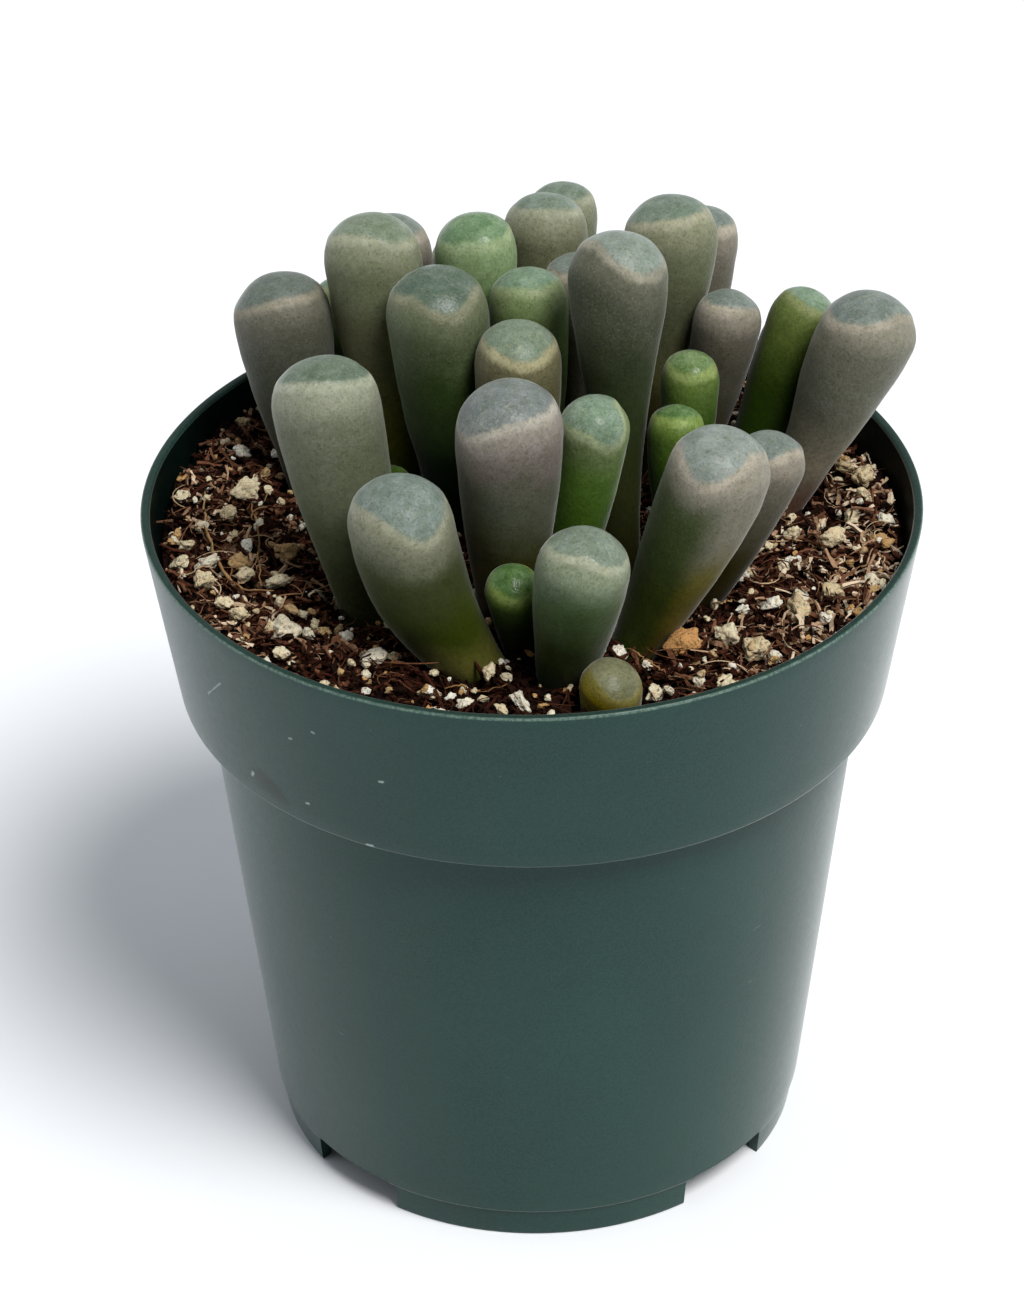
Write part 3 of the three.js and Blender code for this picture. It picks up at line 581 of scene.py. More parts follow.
LOOKS = {
    "leaf_01": {
        "foot": (58, 54, 40), "low": (66, 66, 52), "mid": (70, 73, 60), "high": (82, 83, 72),
        "margin": (154, 148, 134), "window": (92, 102, 96), "haze": (110, 118, 112), "bloom": 0.2,
    },
    "leaf_02": {
        "foot": (66, 66, 0), "low": (90, 95, 16), "mid": (84, 84, 56), "window": (108, 122, 102),
        "haze": (130, 142, 126),
    },
    "leaf_04": {
        "foot": (26, 52, 4), "low": (44, 78, 22), "mid": (70, 104, 46), "high": (120, 144, 102),
        "margin": (164, 178, 142), "window": (94, 124, 90), "haze": (122, 146, 114), "line": 0.8,
        "dullness": 0.4,
    },
    "leaf_06": {"mid": (78, 94, 42), "low": (52, 80, 14), "high": (102, 104, 80)},
    "leaf_07": {
        "foot": (58, 54, 10), "low": (74, 72, 34), "mid": (84, 88, 64), "margin": (168, 166, 144),
    },
    "leaf_09": {
        "foot": (0, 16, 0), "low": (2, 24, 0), "mid": (48, 66, 28), "high": (84, 96, 68),
        "margin": (150, 148, 126), "window": (80, 98, 84), "haze": (102, 116, 106), "bloom": 0.2,
        "line": 0.65, "dullness": 0.44,
    },
    "leaf_10": {"high": (92, 112, 64), "margin": (154, 166, 128), "line": 0.7, "dullness": 0.4},
    "leaf_12": {
        "foot": (34, 32, 0), "low": (40, 46, 16), "mid": (44, 54, 28), "high": (70, 74, 58),
        "margin": (160, 156, 142), "window": (122, 134, 126), "haze": (140, 150, 142), "bloom": 0.2,
    },
    "leaf_13": {
        "mid": (82, 80, 42), "high": (88, 85, 58), "margin": (180, 174, 140),
        "window": (110, 128, 110), "haze": (128, 142, 126), "bloom": 0.12, "line": 0.95,
    },
    "leaf_15": {
        "foot": (28, 40, 0), "low": (34, 56, 0), "mid": (38, 58, 0), "high": (84, 102, 40),
        "margin": (140, 146, 100), "bloom": 0.15,
    },
    # leaf_16's pale low tone is painted light on its shaded stem
    "leaf_16": {
        "foot": (104, 76, 64), "low": (146, 138, 120), "mid": (110, 111, 98), "high": (108, 108, 95),
    },
    "leaf_17": {
        "foot": (70, 76, 42), "low": (70, 78, 48), "mid": (92, 98, 76), "high": (104, 108, 90),
        "margin": (170, 174, 156), "window": (90, 106, 90), "haze": (110, 124, 110), "bloom": 0.42,
    },
    "leaf_18": {
        "foot": (42, 36, 0), "low": (50, 50, 0), "mid": (86, 90, 74), "high": (112, 102, 98),
        "window": (108, 116, 114), "haze": (128, 134, 134), "margin": (180, 176, 164), "dullness": 0.45,
    },
    "leaf_19": {
        "foot": (50, 80, 0), "low": (78, 118, 16), "mid": (92, 128, 46), "window": (112, 134, 114),
        "haze": (138, 156, 140), "margin": (168, 178, 144), "dullness": 0.4,
    },
    "leaf_20": {"window": (90, 116, 68), "haze": (126, 146, 106), "margin": (150, 166, 104)},
    "leaf_22": {
        "foot": (90, 78, 0), "low": (104, 96, 20), "mid": (122, 119, 103), "high": (120, 117, 105),
        "window": (124, 134, 128), "haze": (146, 154, 150),
        # Painted shade on the flank turned from the light
        "flank": {"turn": 190, "tone": (44, 62, 6), "share": 0.9, "range": (-0.2, 0.45)},
    },
    "leaf_24": {
        "foot": (108, 106, 46), "low": (50, 62, 0), "mid": (54, 62, 28), "high": (100, 103, 84),
        "window": (104, 118, 110), "haze": (128, 140, 136), "margin": (160, 160, 140),
    },
    "leaf_26": {
        "foot": (36, 48, 0), "low": (46, 62, 0), "mid": (60, 80, 42), "high": (92, 108, 84),
        "window": (106, 120, 106), "haze": (128, 140, 128), "dullness": 0.36,
    },
    "leaf_27": {
        "foot": (92, 77, 0), "low": (104, 90, 0), "mid": (104, 92, 0), "high": (102, 92, 6),
        "margin": (150, 144, 90), "window": (104, 106, 80), "haze": (126, 126, 100), "line": 0.5,
        "bloom": 0.0, "softness": 0.3,
    },
    "leaf_28": {"window": (44, 66, 16), "haze": (66, 88, 36), "margin": (80, 100, 40), "high": (40, 60, 4)},
}
SCARS = {
    "leaf_18": [{"from": [-2.6, -18.3, 80.6], "to": [-2.4, -18.3, 80.4], "width": 0.2, "share": 1.0}],
}

# The leaves, each on its own node
leaf_random = np.random.default_rng(LEAF_SEED)
for leaf_name in LEAF_NAMES:
    leaf_piece(leaf_name, leaf_random)


# Pot

def corner(path, middle, after, radius, steps=5):
    """Adds a rounded corner to a path of points, on the way to the next point"""
    before = np.array(path[-1])
    middle, after = np.array(middle), np.array(after)
    start = middle + (before - middle) / np.linalg.norm(before - middle) * radius
    end = middle + (after - middle) / np.linalg.norm(after - middle) * radius
    for t in np.linspace(0, 1, steps + 1):
        path.append(((1 - t) ** 2 * start + 2 * t * (1 - t) * middle + t * t * end).tolist())


def pot_outline():
    """The pot's outline from the floor's underside round the foot, up the outside and down the inside"""
    foot_inside = FOOT_RADIUS - FOOT_WALL
    lip_inside = RIM_RADIUS - 2 * LIP_ROUND - LIP_FLAT
    end = [AXIS_RADIUS, FLOOR_TOP]

    # Each corner, with its rounding
    stops = [
        ([foot_inside, FLOOR_UNDERSIDE], 0.3),
        ([foot_inside, 0], 0.25),
        ([FOOT_RADIUS, 0], 0.25),
        ([FOOT_RADIUS + FOOT_STEP, FOOT_HEIGHT], 0.05),
        ([BODY_FOOT_RADIUS, FOOT_HEIGHT + FOOT_STEP], 0.2),
        ([BODY_TOP_RADIUS, COLLAR_BOTTOM + LEDGE_RISE], 0.25),
        ([COLLAR_RADIUS, COLLAR_BOTTOM], 0.45),
        ([RIM_RADIUS, POT_HEIGHT], LIP_ROUND),
        ([lip_inside, POT_HEIGHT], LIP_ROUND),
        ([COLLAR_RADIUS - WALL, COLLAR_INSIDE_BOTTOM], 0.4),
        ([BODY_TOP_RADIUS - WALL, COLLAR_INSIDE_BOTTOM - LEDGE_INSIDE_DROP], 0.4),
        ([BODY_FOOT_RADIUS - WALL, FLOOR_TOP], 1.0),
    ]
    path = [[AXIS_RADIUS, FLOOR_UNDERSIDE]]
    for (middle, radius), (after, _) in zip(stops, [*stops[1:], (end, 0)]):
        corner(path, middle, after, radius)
    return [*path, end]


def finer(path, step):
    """A path with its long straights cut into steps"""
    out = [path[0]]
    for start, end in zip(path, path[1:]):
        start, end = np.array(start), np.array(end)
        count = max(1, math.ceil(np.linalg.norm(end - start) / step))
        out += [(start + (end - start) * (i + 1) / count).tolist() for i in range(count)]
    return out


def notch_cutter(turn):
    """A round-cornered block that cuts one notch out of the pot's foot"""
    half = FOOT_RADIUS * math.sin(math.radians(NOTCH_ANGLE / 2))
    path = [[-half, -NOTCH_OVERRUN]]
    corner(path, [-half, NOTCH_HEIGHT], [half, NOTCH_HEIGHT], NOTCH_ROUND)
    corner(path, [half, NOTCH_HEIGHT], [half, -NOTCH_OVERRUN], NOTCH_ROUND)
    path.append([half, -NOTCH_OVERRUN])
    sides = len(path)
    ends = (FOOT_RADIUS - NOTCH_DEPTH, FOOT_RADIUS + NOTCH_DEPTH)
    points = [[end, across, up] for end in ends for across, up in path]
    faces = grid_faces(2, sides).tolist()
    faces += [list(range(sides))[::-1], [sides + i for i in range(sides)]]
    mesh = bpy.data.meshes.new("cutter")
    mesh.from_pydata((np.array(points) * MM).tolist(), [], faces)
    mesh.transform(Matrix.Rotation(turn, 4, "Z"))
    shape = bmesh.new()
    shape.from_mesh(mesh)
    bmesh.ops.recalc_face_normals(shape, faces=shape.faces)
    shape.to_mesh(mesh)
    shape.free()
    return placed("cutter", mesh)


def pot_piece():
    path = np.array(finer(pot_outline(), POT_STEP))
    turns = np.arange(POT_SIDES) * 2 * np.pi / POT_SIDES
    rows = np.stack([
        path[:, :1] * np.cos(turns), path[:, :1] * np.sin(turns), np.repeat(path[:, 1:], POT_SIDES, axis=1),
    ], axis=-1)
    count = rows.shape[0] * POT_SIDES
    faces = grid_faces(rows.shape[0], POT_SIDES).tolist()
    faces += [list(range(POT_SIDES))[::-1], list(range(count - POT_SIDES, count))]
    piece = mesh_piece("pot_shell", rows.reshape(-1, 3) * MM, faces)

    # The notches lie midway between the axes
    for i in range(NOTCH_COUNT):
        cutter = notch_cutter((i + 0.5) * 2 * math.pi / NOTCH_COUNT)
        cut = piece.modifiers.new("notch", "BOOLEAN")
        cut.object = cutter
        cut.operation = "DIFFERENCE"
        cut.solver = "EXACT"
        with bpy.context.temp_override(object=piece, active_object=piece):
            bpy.ops.object.modifier_apply(modifier=cut.name)
        bpy.data.objects.remove(cutter)
    piece.data.polygons.foreach_set("use_smooth", [True] * len(piece.data.polygons))
    piece.data.set_sharp_from_angle(angle=math.radians(SHARP_ANGLE))
    piece.data.materials.append(pot_material())
    piece.data.materials.append(pot_inside_shade_material())
    # Faces turned in below the lip take the inner side's material, whose dark tones are painted shade
    for face in piece.data.polygons:
        turned_in = face.normal.x * face.center.x + face.normal.y * face.center.y < 0
        below_lip = FLOOR_TOP < face.center.z / MM < POT_HEIGHT - LIP_ROUND
        face.material_index = int(turned_in and below_lip)
    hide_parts("pot")


# The plastic of the pot. The range of the lip's dark inner side is in shares of the lip's rounding.
CLOUDING = {"noise": (18.0, 3.0), "range": (0.3, 0.7), "tones": [(16, 50, 45), (22, 56, 50)], "depth": 0.03}
PLASTIC_GRAIN = {
    "noise": (0.22, 1.0), "range": (0.35, 0.65), "share": 0.25, "tone": (42, 74, 67), "depth": 0.012,
}
SCUFFS = {"noise": (0.7, 4.0, 0.75), "range": (0.25, 0.75), "roughness": (0.36, 0.44)}
SCRATCHES = {
    "noise": (1.0, 2.0, 0.4, 1.5, (0.35, 0.35, 2.2)), "range": (0.78, 0.82), "share": 0.2,
    "tone": (130, 150, 144), "rise": -0.6,
}
DUST = {"noise": (0.45, 2.0, 0.6), "range": (0.79, 0.84), "share": 0.5, "tone": (160, 170, 162)}
# Painted highlight along the lip's crest, speckled with noise
PAINTED_LIP_HIGHLIGHT = {"noise": (0.3, 3.0, 0.6), "range": (0.35, 0.65), "shares": (0.2, 0.65), "tone": (120, 142, 130)}
INNER_LIP = {"range": (0.2, 0.6), "share": 0.9, "tone": (6, 36, 30)}
# The inner side's plastic, painted far darker than the outside as the shade inside the pot
INSIDE_SHADE_GRAIN = {"noise": (0.3, 2.0), "range": (0.3, 0.7), "tones": [(0, 9, 7), (4, 16, 13)], "depth": 0.02}
INSIDE_DUST = {"noise": (0.9, 4.0, 0.7), "range": (0.62, 0.72), "share": 0.35, "tone": (40, 30, 22)}

# Marks on the outside of the pot that can be told apart in the photo
# Dark marks on the collar's lower edge at the left, partly a smudge and partly the painted shade of a small
# dent that the shape does not have
SMUDGE_AND_DENT_SHADE_TONE = (2, 16, 15)
SMUDGES_AND_DENT_SHADE = [
    {"from": [-26.2, -24.1, 55.2], "to": [-24.5, -25.6, 54.4], "width": 2.0, "share": 0.5},
    {"from": [-25.6, -24.6, 55.8], "to": [-24.9, -25.2, 55.2], "width": 1.5, "share": 0.5},
]
FLECK_TONE = (160, 176, 168)
FLECKS = [
    {"from": [-30.9, -19.5, 61.9], "to": [-29.5, -22.4, 65.0], "width": 0.16, "share": 0.45},
    {"from": [-14.5, -33.5, 61.3], "to": [-14.2, -33.6, 61.4], "width": 0.22, "share": 0.7},
    {"from": [-21.6, -28.2, 55.2], "to": [-21.4, -28.4, 55.3], "width": 0.22, "share": 0.6},
    {"from": [-22.9, -28.7, 63.0], "to": [-22.7, -28.9, 63.1], "width": 0.2, "share": 0.5},
    {"from": [-20.7, -30.7, 65.1], "to": [-20.5, -30.9, 65.1], "width": 0.2, "share": 0.5},
    {"from": [-15.9, -31.3, 52.5], "to": [-15.4, -31.5, 52.6], "width": 0.3, "share": 0.8},
    {"from": [-27.0, -23.2, 54.9], "to": [-26.8, -23.4, 55.4], "width": 0.3, "share": 0.6},
]


def pot_material():
    """Moulded plastic with a soft sheen and fine grain, a speckled painted highlight on the lip's crest, a
    lip darker towards the inside, marks partly painted shade, scuffs and dust
    """
    material, tree, shader = new_material(
        "pot_plastic", IOR=1.5, Specular_IOR_Level=0.22, Sheen_Weight=0.46, Sheen_Roughness=0.3,
    )
    cloud = noise(tree, *CLOUDING["noise"])
    grain = noise(tree, *PLASTIC_GRAIN["noise"])
    scratch = patches(tree, SCRATCHES)
    colour = mixed(tree, spread(tree, cloud, *CLOUDING["range"]), *CLOUDING["tones"])
    colour = layered(tree, colour, [PLASTIC_GRAIN])
    # The dark marks are partly painted dent shade; the pale flecks are marks on the plastic
    for marks, mark_tone in ((SMUDGES_AND_DENT_SHADE, SMUDGE_AND_DENT_SHADE_TONE), (FLECKS, FLECK_TONE)):
        for mark in marks:
            colour = mixed(tree, mark_share(tree, mark), colour, mark_tone)
    colour = layered(tree, colour, [SCRATCHES, DUST])

    # The lip has a speckled painted highlight on its crest, and is dark towards the inside
    place = place_of(tree)
    near_lip = spread(
        tree, axis_of(tree, place, "Z"), (POT_HEIGHT - LIP_ROUND) * MM, (POT_HEIGHT - LIP_ROUND / 2) * MM,
    )
    painted_lip_highlight = patches(tree, PAINTED_LIP_HIGHLIGHT, *PAINTED_LIP_HIGHLIGHT["shares"])
    colour = mixed(tree, times(tree, painted_lip_highlight, near_lip), colour, PAINTED_LIP_HIGHLIGHT["tone"])
    flat = vector_step(tree, "MULTIPLY", {0: place, 1: (1, 1, 0)})
    reach = vector_step(tree, "LENGTH", {0: flat}, "Value")
    edges = [(RIM_RADIUS - share * LIP_ROUND) * MM for share in INNER_LIP["range"]]
    inner = spread(tree, reach, *edges, 0.0, INNER_LIP["share"])
    colour = mixed(tree, times(tree, inner, near_lip), colour, INNER_LIP["tone"])
    relief = added(tree, grain, scratch, SCRATCHES["rise"])
    plug(tree, shader, {
        "Base Color": colour, "Roughness": patches(tree, SCUFFS, *SCUFFS["roughness"]),
        "Normal": bumps(tree, relief, PLASTIC_GRAIN["depth"], bumps(tree, cloud, CLOUDING["depth"])),
    })
    return material


def pot_inside_shade_material():
    """The pot's inner side: the plastic painted nearly black as painted shade, dull, with grain and patches
    of mix dust
    """
    material, tree, shader = new_material("pot_inner_side_shaded", IOR=1.5, Specular_IOR_Level=0.08, Roughness=0.55)
    grain = noise(tree, *INSIDE_SHADE_GRAIN["noise"])
    colour = mixed(tree, spread(tree, grain, *INSIDE_SHADE_GRAIN["range"]), *INSIDE_SHADE_GRAIN["tones"])
    colour = layered(tree, colour, [INSIDE_DUST])
    plug(tree, shader, {"Base Color": colour, "Normal": bumps(tree, grain, INSIDE_SHADE_GRAIN["depth"])})
    return material


pot_piece()


# Potting mix

# The sizes and depths of the bed's waves, its bank against the pot, and the hollow round each leaf
BED_WAVES = [(11, 0.3), (4.5, 0.4), (1.8, 0.42), (0.9, 0.26)]
BANK = {"turn": 150, "spread": 38, "rise": 1.5, "from": 24, "to": 35}
HOLLOW = {"depth": 1.5, "width": 1.8}

# The radius and height of each ring of the bed's side, a little inside the pot's wall
BED_SIDE = [
    (COLLAR_RADIUS - WALL - 0.05, COLLAR_INSIDE_BOTTOM + 0.3),
    (BODY_TOP_RADIUS - WALL - 0.05, COLLAR_INSIDE_BOTTOM - 0.4),
    (BODY_FOOT_RADIUS - WALL - 0.3, BED_BOTTOM + 1),
    (BODY_FOOT_RADIUS - WALL - 1.3, BED_BOTTOM),
]

# Where the mix is painted darker as shade, near the leaves and in front, and how much paler it is painted on
# the right as light
PAINTED_MIX_LIGHT_AND_SHADE = {
    "share": 0.75, "reach": 2.2, "front": -17, "front_reach": 8, "front_middle": -2, "front_width": 13,
    "front_share": 0.68, "right_share": 0.3,
}


def leaf_feet():
    """Where each leaf passes the top of the mix: place and radius"""
    feet = []
    for name in LEAF_NAMES:
        body = leaf_rings(frame["nodes"][name])[0][:MARGIN_RING + 1]
        middles = body.mean(axis=1)
        radii = np.linalg.norm(body - middles[:, None], axis=2).mean(axis=1)
        x, y, height = middles.T
        feet.append([np.interp(FEET_LEVEL, height, values) for values in (x, y, radii)])
    return np.array(feet)


FEET = leaf_feet()
mix_random = np.random.default_rng(MIX_SEED)
bed_seeds = [int(seed) for seed in mix_random.integers(1, SEED_LIMIT, len(BED_WAVES))]


def bed_height(places):
    """The height of the mix's top at each place, in millimetres"""
    height = np.full(len(places), SOIL_LEVEL, dtype=float)
    for (size, depth), seed in zip(BED_WAVES, bed_seeds):
        height += depth * ripple(places, size, np.random.default_rng(seed))
    reach = np.hypot(places[:, 0], places[:, 1])
    turn = np.degrees(np.arctan2(places[:, 1], places[:, 0]))
    off = (turn - BANK["turn"] + FULL_TURN * 1.5) % FULL_TURN - FULL_TURN / 2
    bank = np.clip((reach - BANK["from"]) / (BANK["to"] - BANK["from"]), 0, 1)
    height += BANK["rise"] * bank * np.exp(-(off / BANK["spread"]) ** 2)
    from_foot = np.full(len(places), np.inf)
    for x, y, radius in FEET:
        from_foot = np.minimum(from_foot, np.hypot(places[:, 0] - x, places[:, 1] - y) - radius)
    return height - HOLLOW["depth"] * np.exp(-np.clip(from_foot, 0, None) / HOLLOW["width"])


def disc_places(cells):
    """A square grid of places squeezed into a disc of radius 1, row by row"""
    line = np.linspace(-1, 1, cells + 1)
    u, v = np.meshgrid(line, line, indexing="ij")
    wide = np.abs(u) > np.abs(v)
    with np.errstate(divide="ignore", invalid="ignore"):
        turn = np.where(wide, np.pi / 4 * v / u, np.pi / 2 - np.pi / 4 * u / v)
    turn = np.nan_to_num(turn)
    reach = np.where(wide, u, v)
    return np.stack([reach * np.cos(turn), reach * np.sin(turn)], axis=-1).reshape(-1, 2)


def bed_piece():
    """The body of the mix: an uneven top, and plain sides and bottom inside the pot"""
    places = disc_places(BED_CELLS) * BED_RADIUS
    points = [np.column_stack([places, bed_height(places)])]
    side = BED_CELLS + 1
    index = np.arange(side * side).reshape(side, side)
    around = [index[:-1, :-1], index[1:, :-1], index[1:, 1:], index[:-1, 1:]]
    quads = [np.stack(around, axis=-1).reshape(-1, 4)]
    edge = np.concatenate([index[:-1, 0], index[-1, :-1], index[:0:-1, -1], index[0, :0:-1]])
    ways = places[edge] / np.linalg.norm(places[edge], axis=1, keepdims=True)
    above = edge
    count = len(places)
    for radius, height in BED_SIDE:
        ring = np.arange(count, count + len(edge))
        points.append(np.column_stack([ways * radius, np.full(len(edge), height)]))
        quads.append(np.stack([above, ring, np.roll(ring, -1), np.roll(above, -1)], axis=-1))
        above = ring
        count += len(edge)
    faces = np.concatenate(quads).tolist() + [above[::-1].tolist()]
    piece = mesh_piece("mix_bed", np.concatenate(points) * MM, faces)
    piece.data.materials.append(mix_material("mix_bed", BED_STOPS, even=True))
    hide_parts("potting_mix")


# The surface that all bits of the mix share, and the tones of the bed between them
MIX_GRAIN = {"detail": 3.0, "roughness": 0.65, "share": 0.3, "depth": 0.12}
EVEN_TINT = (1.3, 4.0, 0.7)
DIRT = {"noise": (1.4, 3.0), "range": (0.5, 0.75), "share": 0.45, "tone": (46, 28, 16)}
# The bed is dark soil that runs to nearly black as painted shade in the gaps between the bits
BED_STOPS = [(0.0, (3, 1, 0)), (0.45, (13, 4, 2)), (0.75, (30, 12, 6)), (1.0, (58, 30, 18))]


def mix_material(name, stops, even=False, grain_size=0.5, dullness=0.85):
    """Bits of the mix: each has a tint of its own from one range of colours, with grain and dirt on it"""
    material, tree, shader = new_material(name, Roughness=dullness, IOR=1.4, Specular_IOR_Level=0.12)
    grain = noise(tree, grain_size, MIX_GRAIN["detail"], MIX_GRAIN["roughness"])
    tint = noise(tree, *EVEN_TINT) if even else value_of(tree, "tint")
    colour = ramp(tree, added(tree, tint, centred(tree, grain), MIX_GRAIN["share"]), stops)
    colour = layered(tree, colour, [DIRT])
    plug(tree, shader, {"Base Color": colour, "Normal": bumps(tree, grain, MIX_GRAIN["depth"])})
    return material


def is_clear(x, y, size):
    """Whether a bit of a size fits between the leaves and inside the pot"""
    off = np.hypot(FEET[:, 0] - x, FEET[:, 1] - y) - FEET[:, 2]
    return math.hypot(x, y) + size * RIM_ROOM < BED_RADIUS and off.min() > size * LEAF_ROOM


class Pile:
    """The height of what already lies on the bed, so that a new bit lies on top of it"""

    cell = 0.4

    def __init__(self):
        self.count = int(2 * BED_RADIUS / self.cell) + 2
        line = (np.arange(self.count) + 0.5) * self.cell - BED_RADIUS
        x, y = np.meshgrid(line, line, indexing="ij")
        self.height = bed_height(np.column_stack([x.ravel(), y.ravel()])).reshape(self.count, self.count)

    def lay(self, x, y, reach, thickness, sink):
        """The height of the middle of a bit that is laid here, which the pile then holds"""
        i, j = int((x + BED_RADIUS) / self.cell), int((y + BED_RADIUS) / self.cell)
        span = max(0, int(reach / self.cell))
        patch = self.height[max(i - span, 0):i + span + 1, max(j - span, 0):j + span + 1]
        rest = patch.mean() * (1 - PEAK_SHARE) + patch.max() * PEAK_SHARE
        middle = rest + thickness * (0.5 - sink)
        np.maximum(patch, min(middle + thickness * HELD_SHARE, MIX_CEILING), out=patch)
        return min(middle, MIX_CEILING)


pile = Pile()


def drawn_sizes(kind, random):
    """Random sizes, each a product of draws from the kind's ranges"""
    return np.prod([random.uniform(*span, kind["count"]) for span in kind["sizes"]], axis=0)


def drawn_places(sizes, random):
    """Random clear places for bits of given sizes"""
    places = []
    while len(places) < len(sizes):
        reach = BED_RADIUS * math.sqrt(random.uniform())
        turn = random.uniform(0, 2 * math.pi)
        x, y = reach * math.cos(turn), reach * math.sin(turn)
        if is_clear(x, y, sizes[len(places)]):
            places.append((x, y))
    return places


def laid(places, sizes, lay):
    """The heights of bits laid one after the other"""
    reach, thickness, sink = lay
    return [pile.lay(x, y, size * reach, size * thickness, sink) for (x, y), size in zip(places, sizes)]


def turned_shapes(shapes, random, tilt):
    """Shapes turned at random about the vertical and tilted a little"""
    out = []
    for shape in shapes:
        turn = Matrix.Rotation(random.uniform(0, 2 * math.pi), 3, "Z")
        lean = Matrix.Rotation(random.normal(0, tilt), 3, "X")
        lean = lean @ Matrix.Rotation(random.normal(0, tilt), 3, "Y")
        spin = Matrix.Rotation(random.uniform(0, 2 * math.pi), 3, "Z")
        out.append(shape @ np.array(turn @ lean @ spin).T)
    return out


def painted_light_and_shade(tints, places):
    """Tints with painted shade and light: darker near the leaves and in front as painted shade, paler on the
    right as painted light
    """
    places = np.array(places)
    off = np.hypot(places[:, :1] - FEET[:, 0], places[:, 1:2] - FEET[:, 1]) - FEET[:, 2]
    share = 1 - PAINTED_MIX_LIGHT_AND_SHADE["share"] * np.exp(-np.clip(off.min(axis=1), 0, None) / PAINTED_MIX_LIGHT_AND_SHADE["reach"])
    in_front = np.clip((PAINTED_MIX_LIGHT_AND_SHADE["front"] - places[:, 1]) / PAINTED_MIX_LIGHT_AND_SHADE["front_reach"], 0, 1)
    aside = np.exp(-((places[:, 0] - PAINTED_MIX_LIGHT_AND_SHADE["front_middle"]) / PAINTED_MIX_LIGHT_AND_SHADE["front_width"]) ** 2)
    share *= 1 - PAINTED_MIX_LIGHT_AND_SHADE["front_share"] * in_front * aside
    share *= 1 + PAINTED_MIX_LIGHT_AND_SHADE["right_share"] * np.clip(places[:, 0] / BED_RADIUS, 0, 1)
    return np.clip(tints * share, 0, 1)


def joined_bits(name, shapes, template_faces, places, heights, tints, material, smooth=False):
    """Many bits as one piece, each with its own tint"""
    points = []
    faces = []
    values = []
    count = 0
    for shape, (x, y), z, tint in zip(shapes, places, heights, tints):
        points.append(shape + np.array([x, y, z]))
        faces.append(template_faces + count)
        values.append(np.full(len(shape), tint))
        count += len(shape)
    piece = mesh_piece(
        name, np.concatenate(points) * MM, np.concatenate(faces).tolist(),
        {"tint": np.concatenate(values)}, smooth,
    )
    piece.data.materials.append(material)
    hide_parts("potting_mix")


# How the bits of the mix are drawn. Sizes are products of draws from their ranges. "lay" is the reach and
# the thickness of a bit on the pile, as shares of its size, and the share of the thickness that sinks in.
# Splinters and fibres have that reach and thickness in millimetres. Their "room" is what they need round
# their middle, as a share of their length. "tints" shapes a beta draw, and "length" a gamma draw.
LUMP = {
    "depths": (0.62, 1.05), "facing": 0.05, "far": 9, "reach": 1.25, "waves": [(0.5, 1.0), (0.22, 0.6)],
    "wave_count": 10, "stretch": [(0.8, 1.3), (0.7, 1.1), (0.6, 0.9)],
}
GRIT = {
    "count": 7200, "sizes": [(0.12, 0.42)], "shape": {"level": 1, "roughness": 0.2},
    "lay": (0.5, 1.0, 0.2), "tilt": 0.5, "tints": (0.9, 1.3), "gets_painted_light": True,
    "stops": [
        (0.0, (14, 4, 2)), (0.35, (50, 22, 13)), (0.62, (100, 66, 48)), (0.82, (162, 136, 112)),
        (1.0, (212, 198, 176)),
    ],
}
BARK = {
    "count": 2300, "sizes": [(0.3, 1.0), (0.6, 1.1)], "shape": {"sides": 9}, "reach": (0.62, 1.25),
    "narrow": (0.3, 0.8), "thick": (0.12, 0.3), "least_thick": 0.06, "bend": (-0.2, 0.2),
    "low_roughness": 0.05, "high_roughness": 0.06, "high_share": 0.86, "middle_share": 0.6,
    "lay": (0.6, 0.5, 0.1), "tilt": 0.42, "tints": (0.9, 1.4), "gets_painted_light": True,
    "stops": [
        (0.0, (14, 4, 2)), (0.35, (48, 21, 12)), (0.62, (88, 52, 36)), (0.84, (146, 112, 86)),
        (1.0, (200, 176, 148)),
    ],
}
SPLINTERS = {
    "count": 4800, "length": (3.0, 0.5), "least_length": 0.5, "width": (0.05, 0.26), "curl": 0.12,
    "flatness": (0.35, 0.8), "taper": (0.35, 1.1), "wander": 0.03, "roughness": 0.02, "room": 0.3,
    "lay": (0.4, 0.3, 0.0), "lift": 0.1, "lean": 0.32, "tints": (0.9, 1.2), "grain_size": 0.3,
    "stops": [
        (0.0, (16, 5, 2)), (0.35, (56, 26, 15)), (0.62, (108, 72, 52)), (0.82, (168, 136, 108)),
        (1.0, (216, 196, 170)),
    ],
}
FIBRES = {
    "count": 620, "sizes": [(1.2, 6.5), (0.5, 1.1)], "knots": 8, "room": 0.25, "knot_room": 0.1, "bend": 0.9,
    "slope": (-0.3, 0.7), "arch": (0.0, 0.35), "rise_share": 0.9, "width": (0.04, 0.11), "flatness": 0.6,
    "lay": (0.3, 0.15, -0.5), "tints": (1.6, 1.4), "dullness": 0.7,
    "stops": [(0.0, (34, 15, 9)), (0.4, (92, 56, 36)), (0.75, (152, 116, 84)), (1.0, (200, 174, 140))],
}
CRUMBS = {
    "shape": {"level": 4, "roughness": 0.11, "planes": 12, "sharpness": 22}, "lay": (0.6, 1.4, 0.25),
    "tilt": 0.3, "tint": (0.05, 0.5), "tint_reach": 1.5, "apart": 1.6, "named_share": 0.88,
}
GRAINS = {
    "count": 640, "sizes": [(0.18, 0.58), (0.6, 1.15)],
    "shape": {"level": 2, "roughness": 0.12, "planes": 8}, "lay": (0.6, 1.2, 0.1), "tilt": 0.4,
    "tints": (1.1, 1.6), "gets_painted_light": False,
}


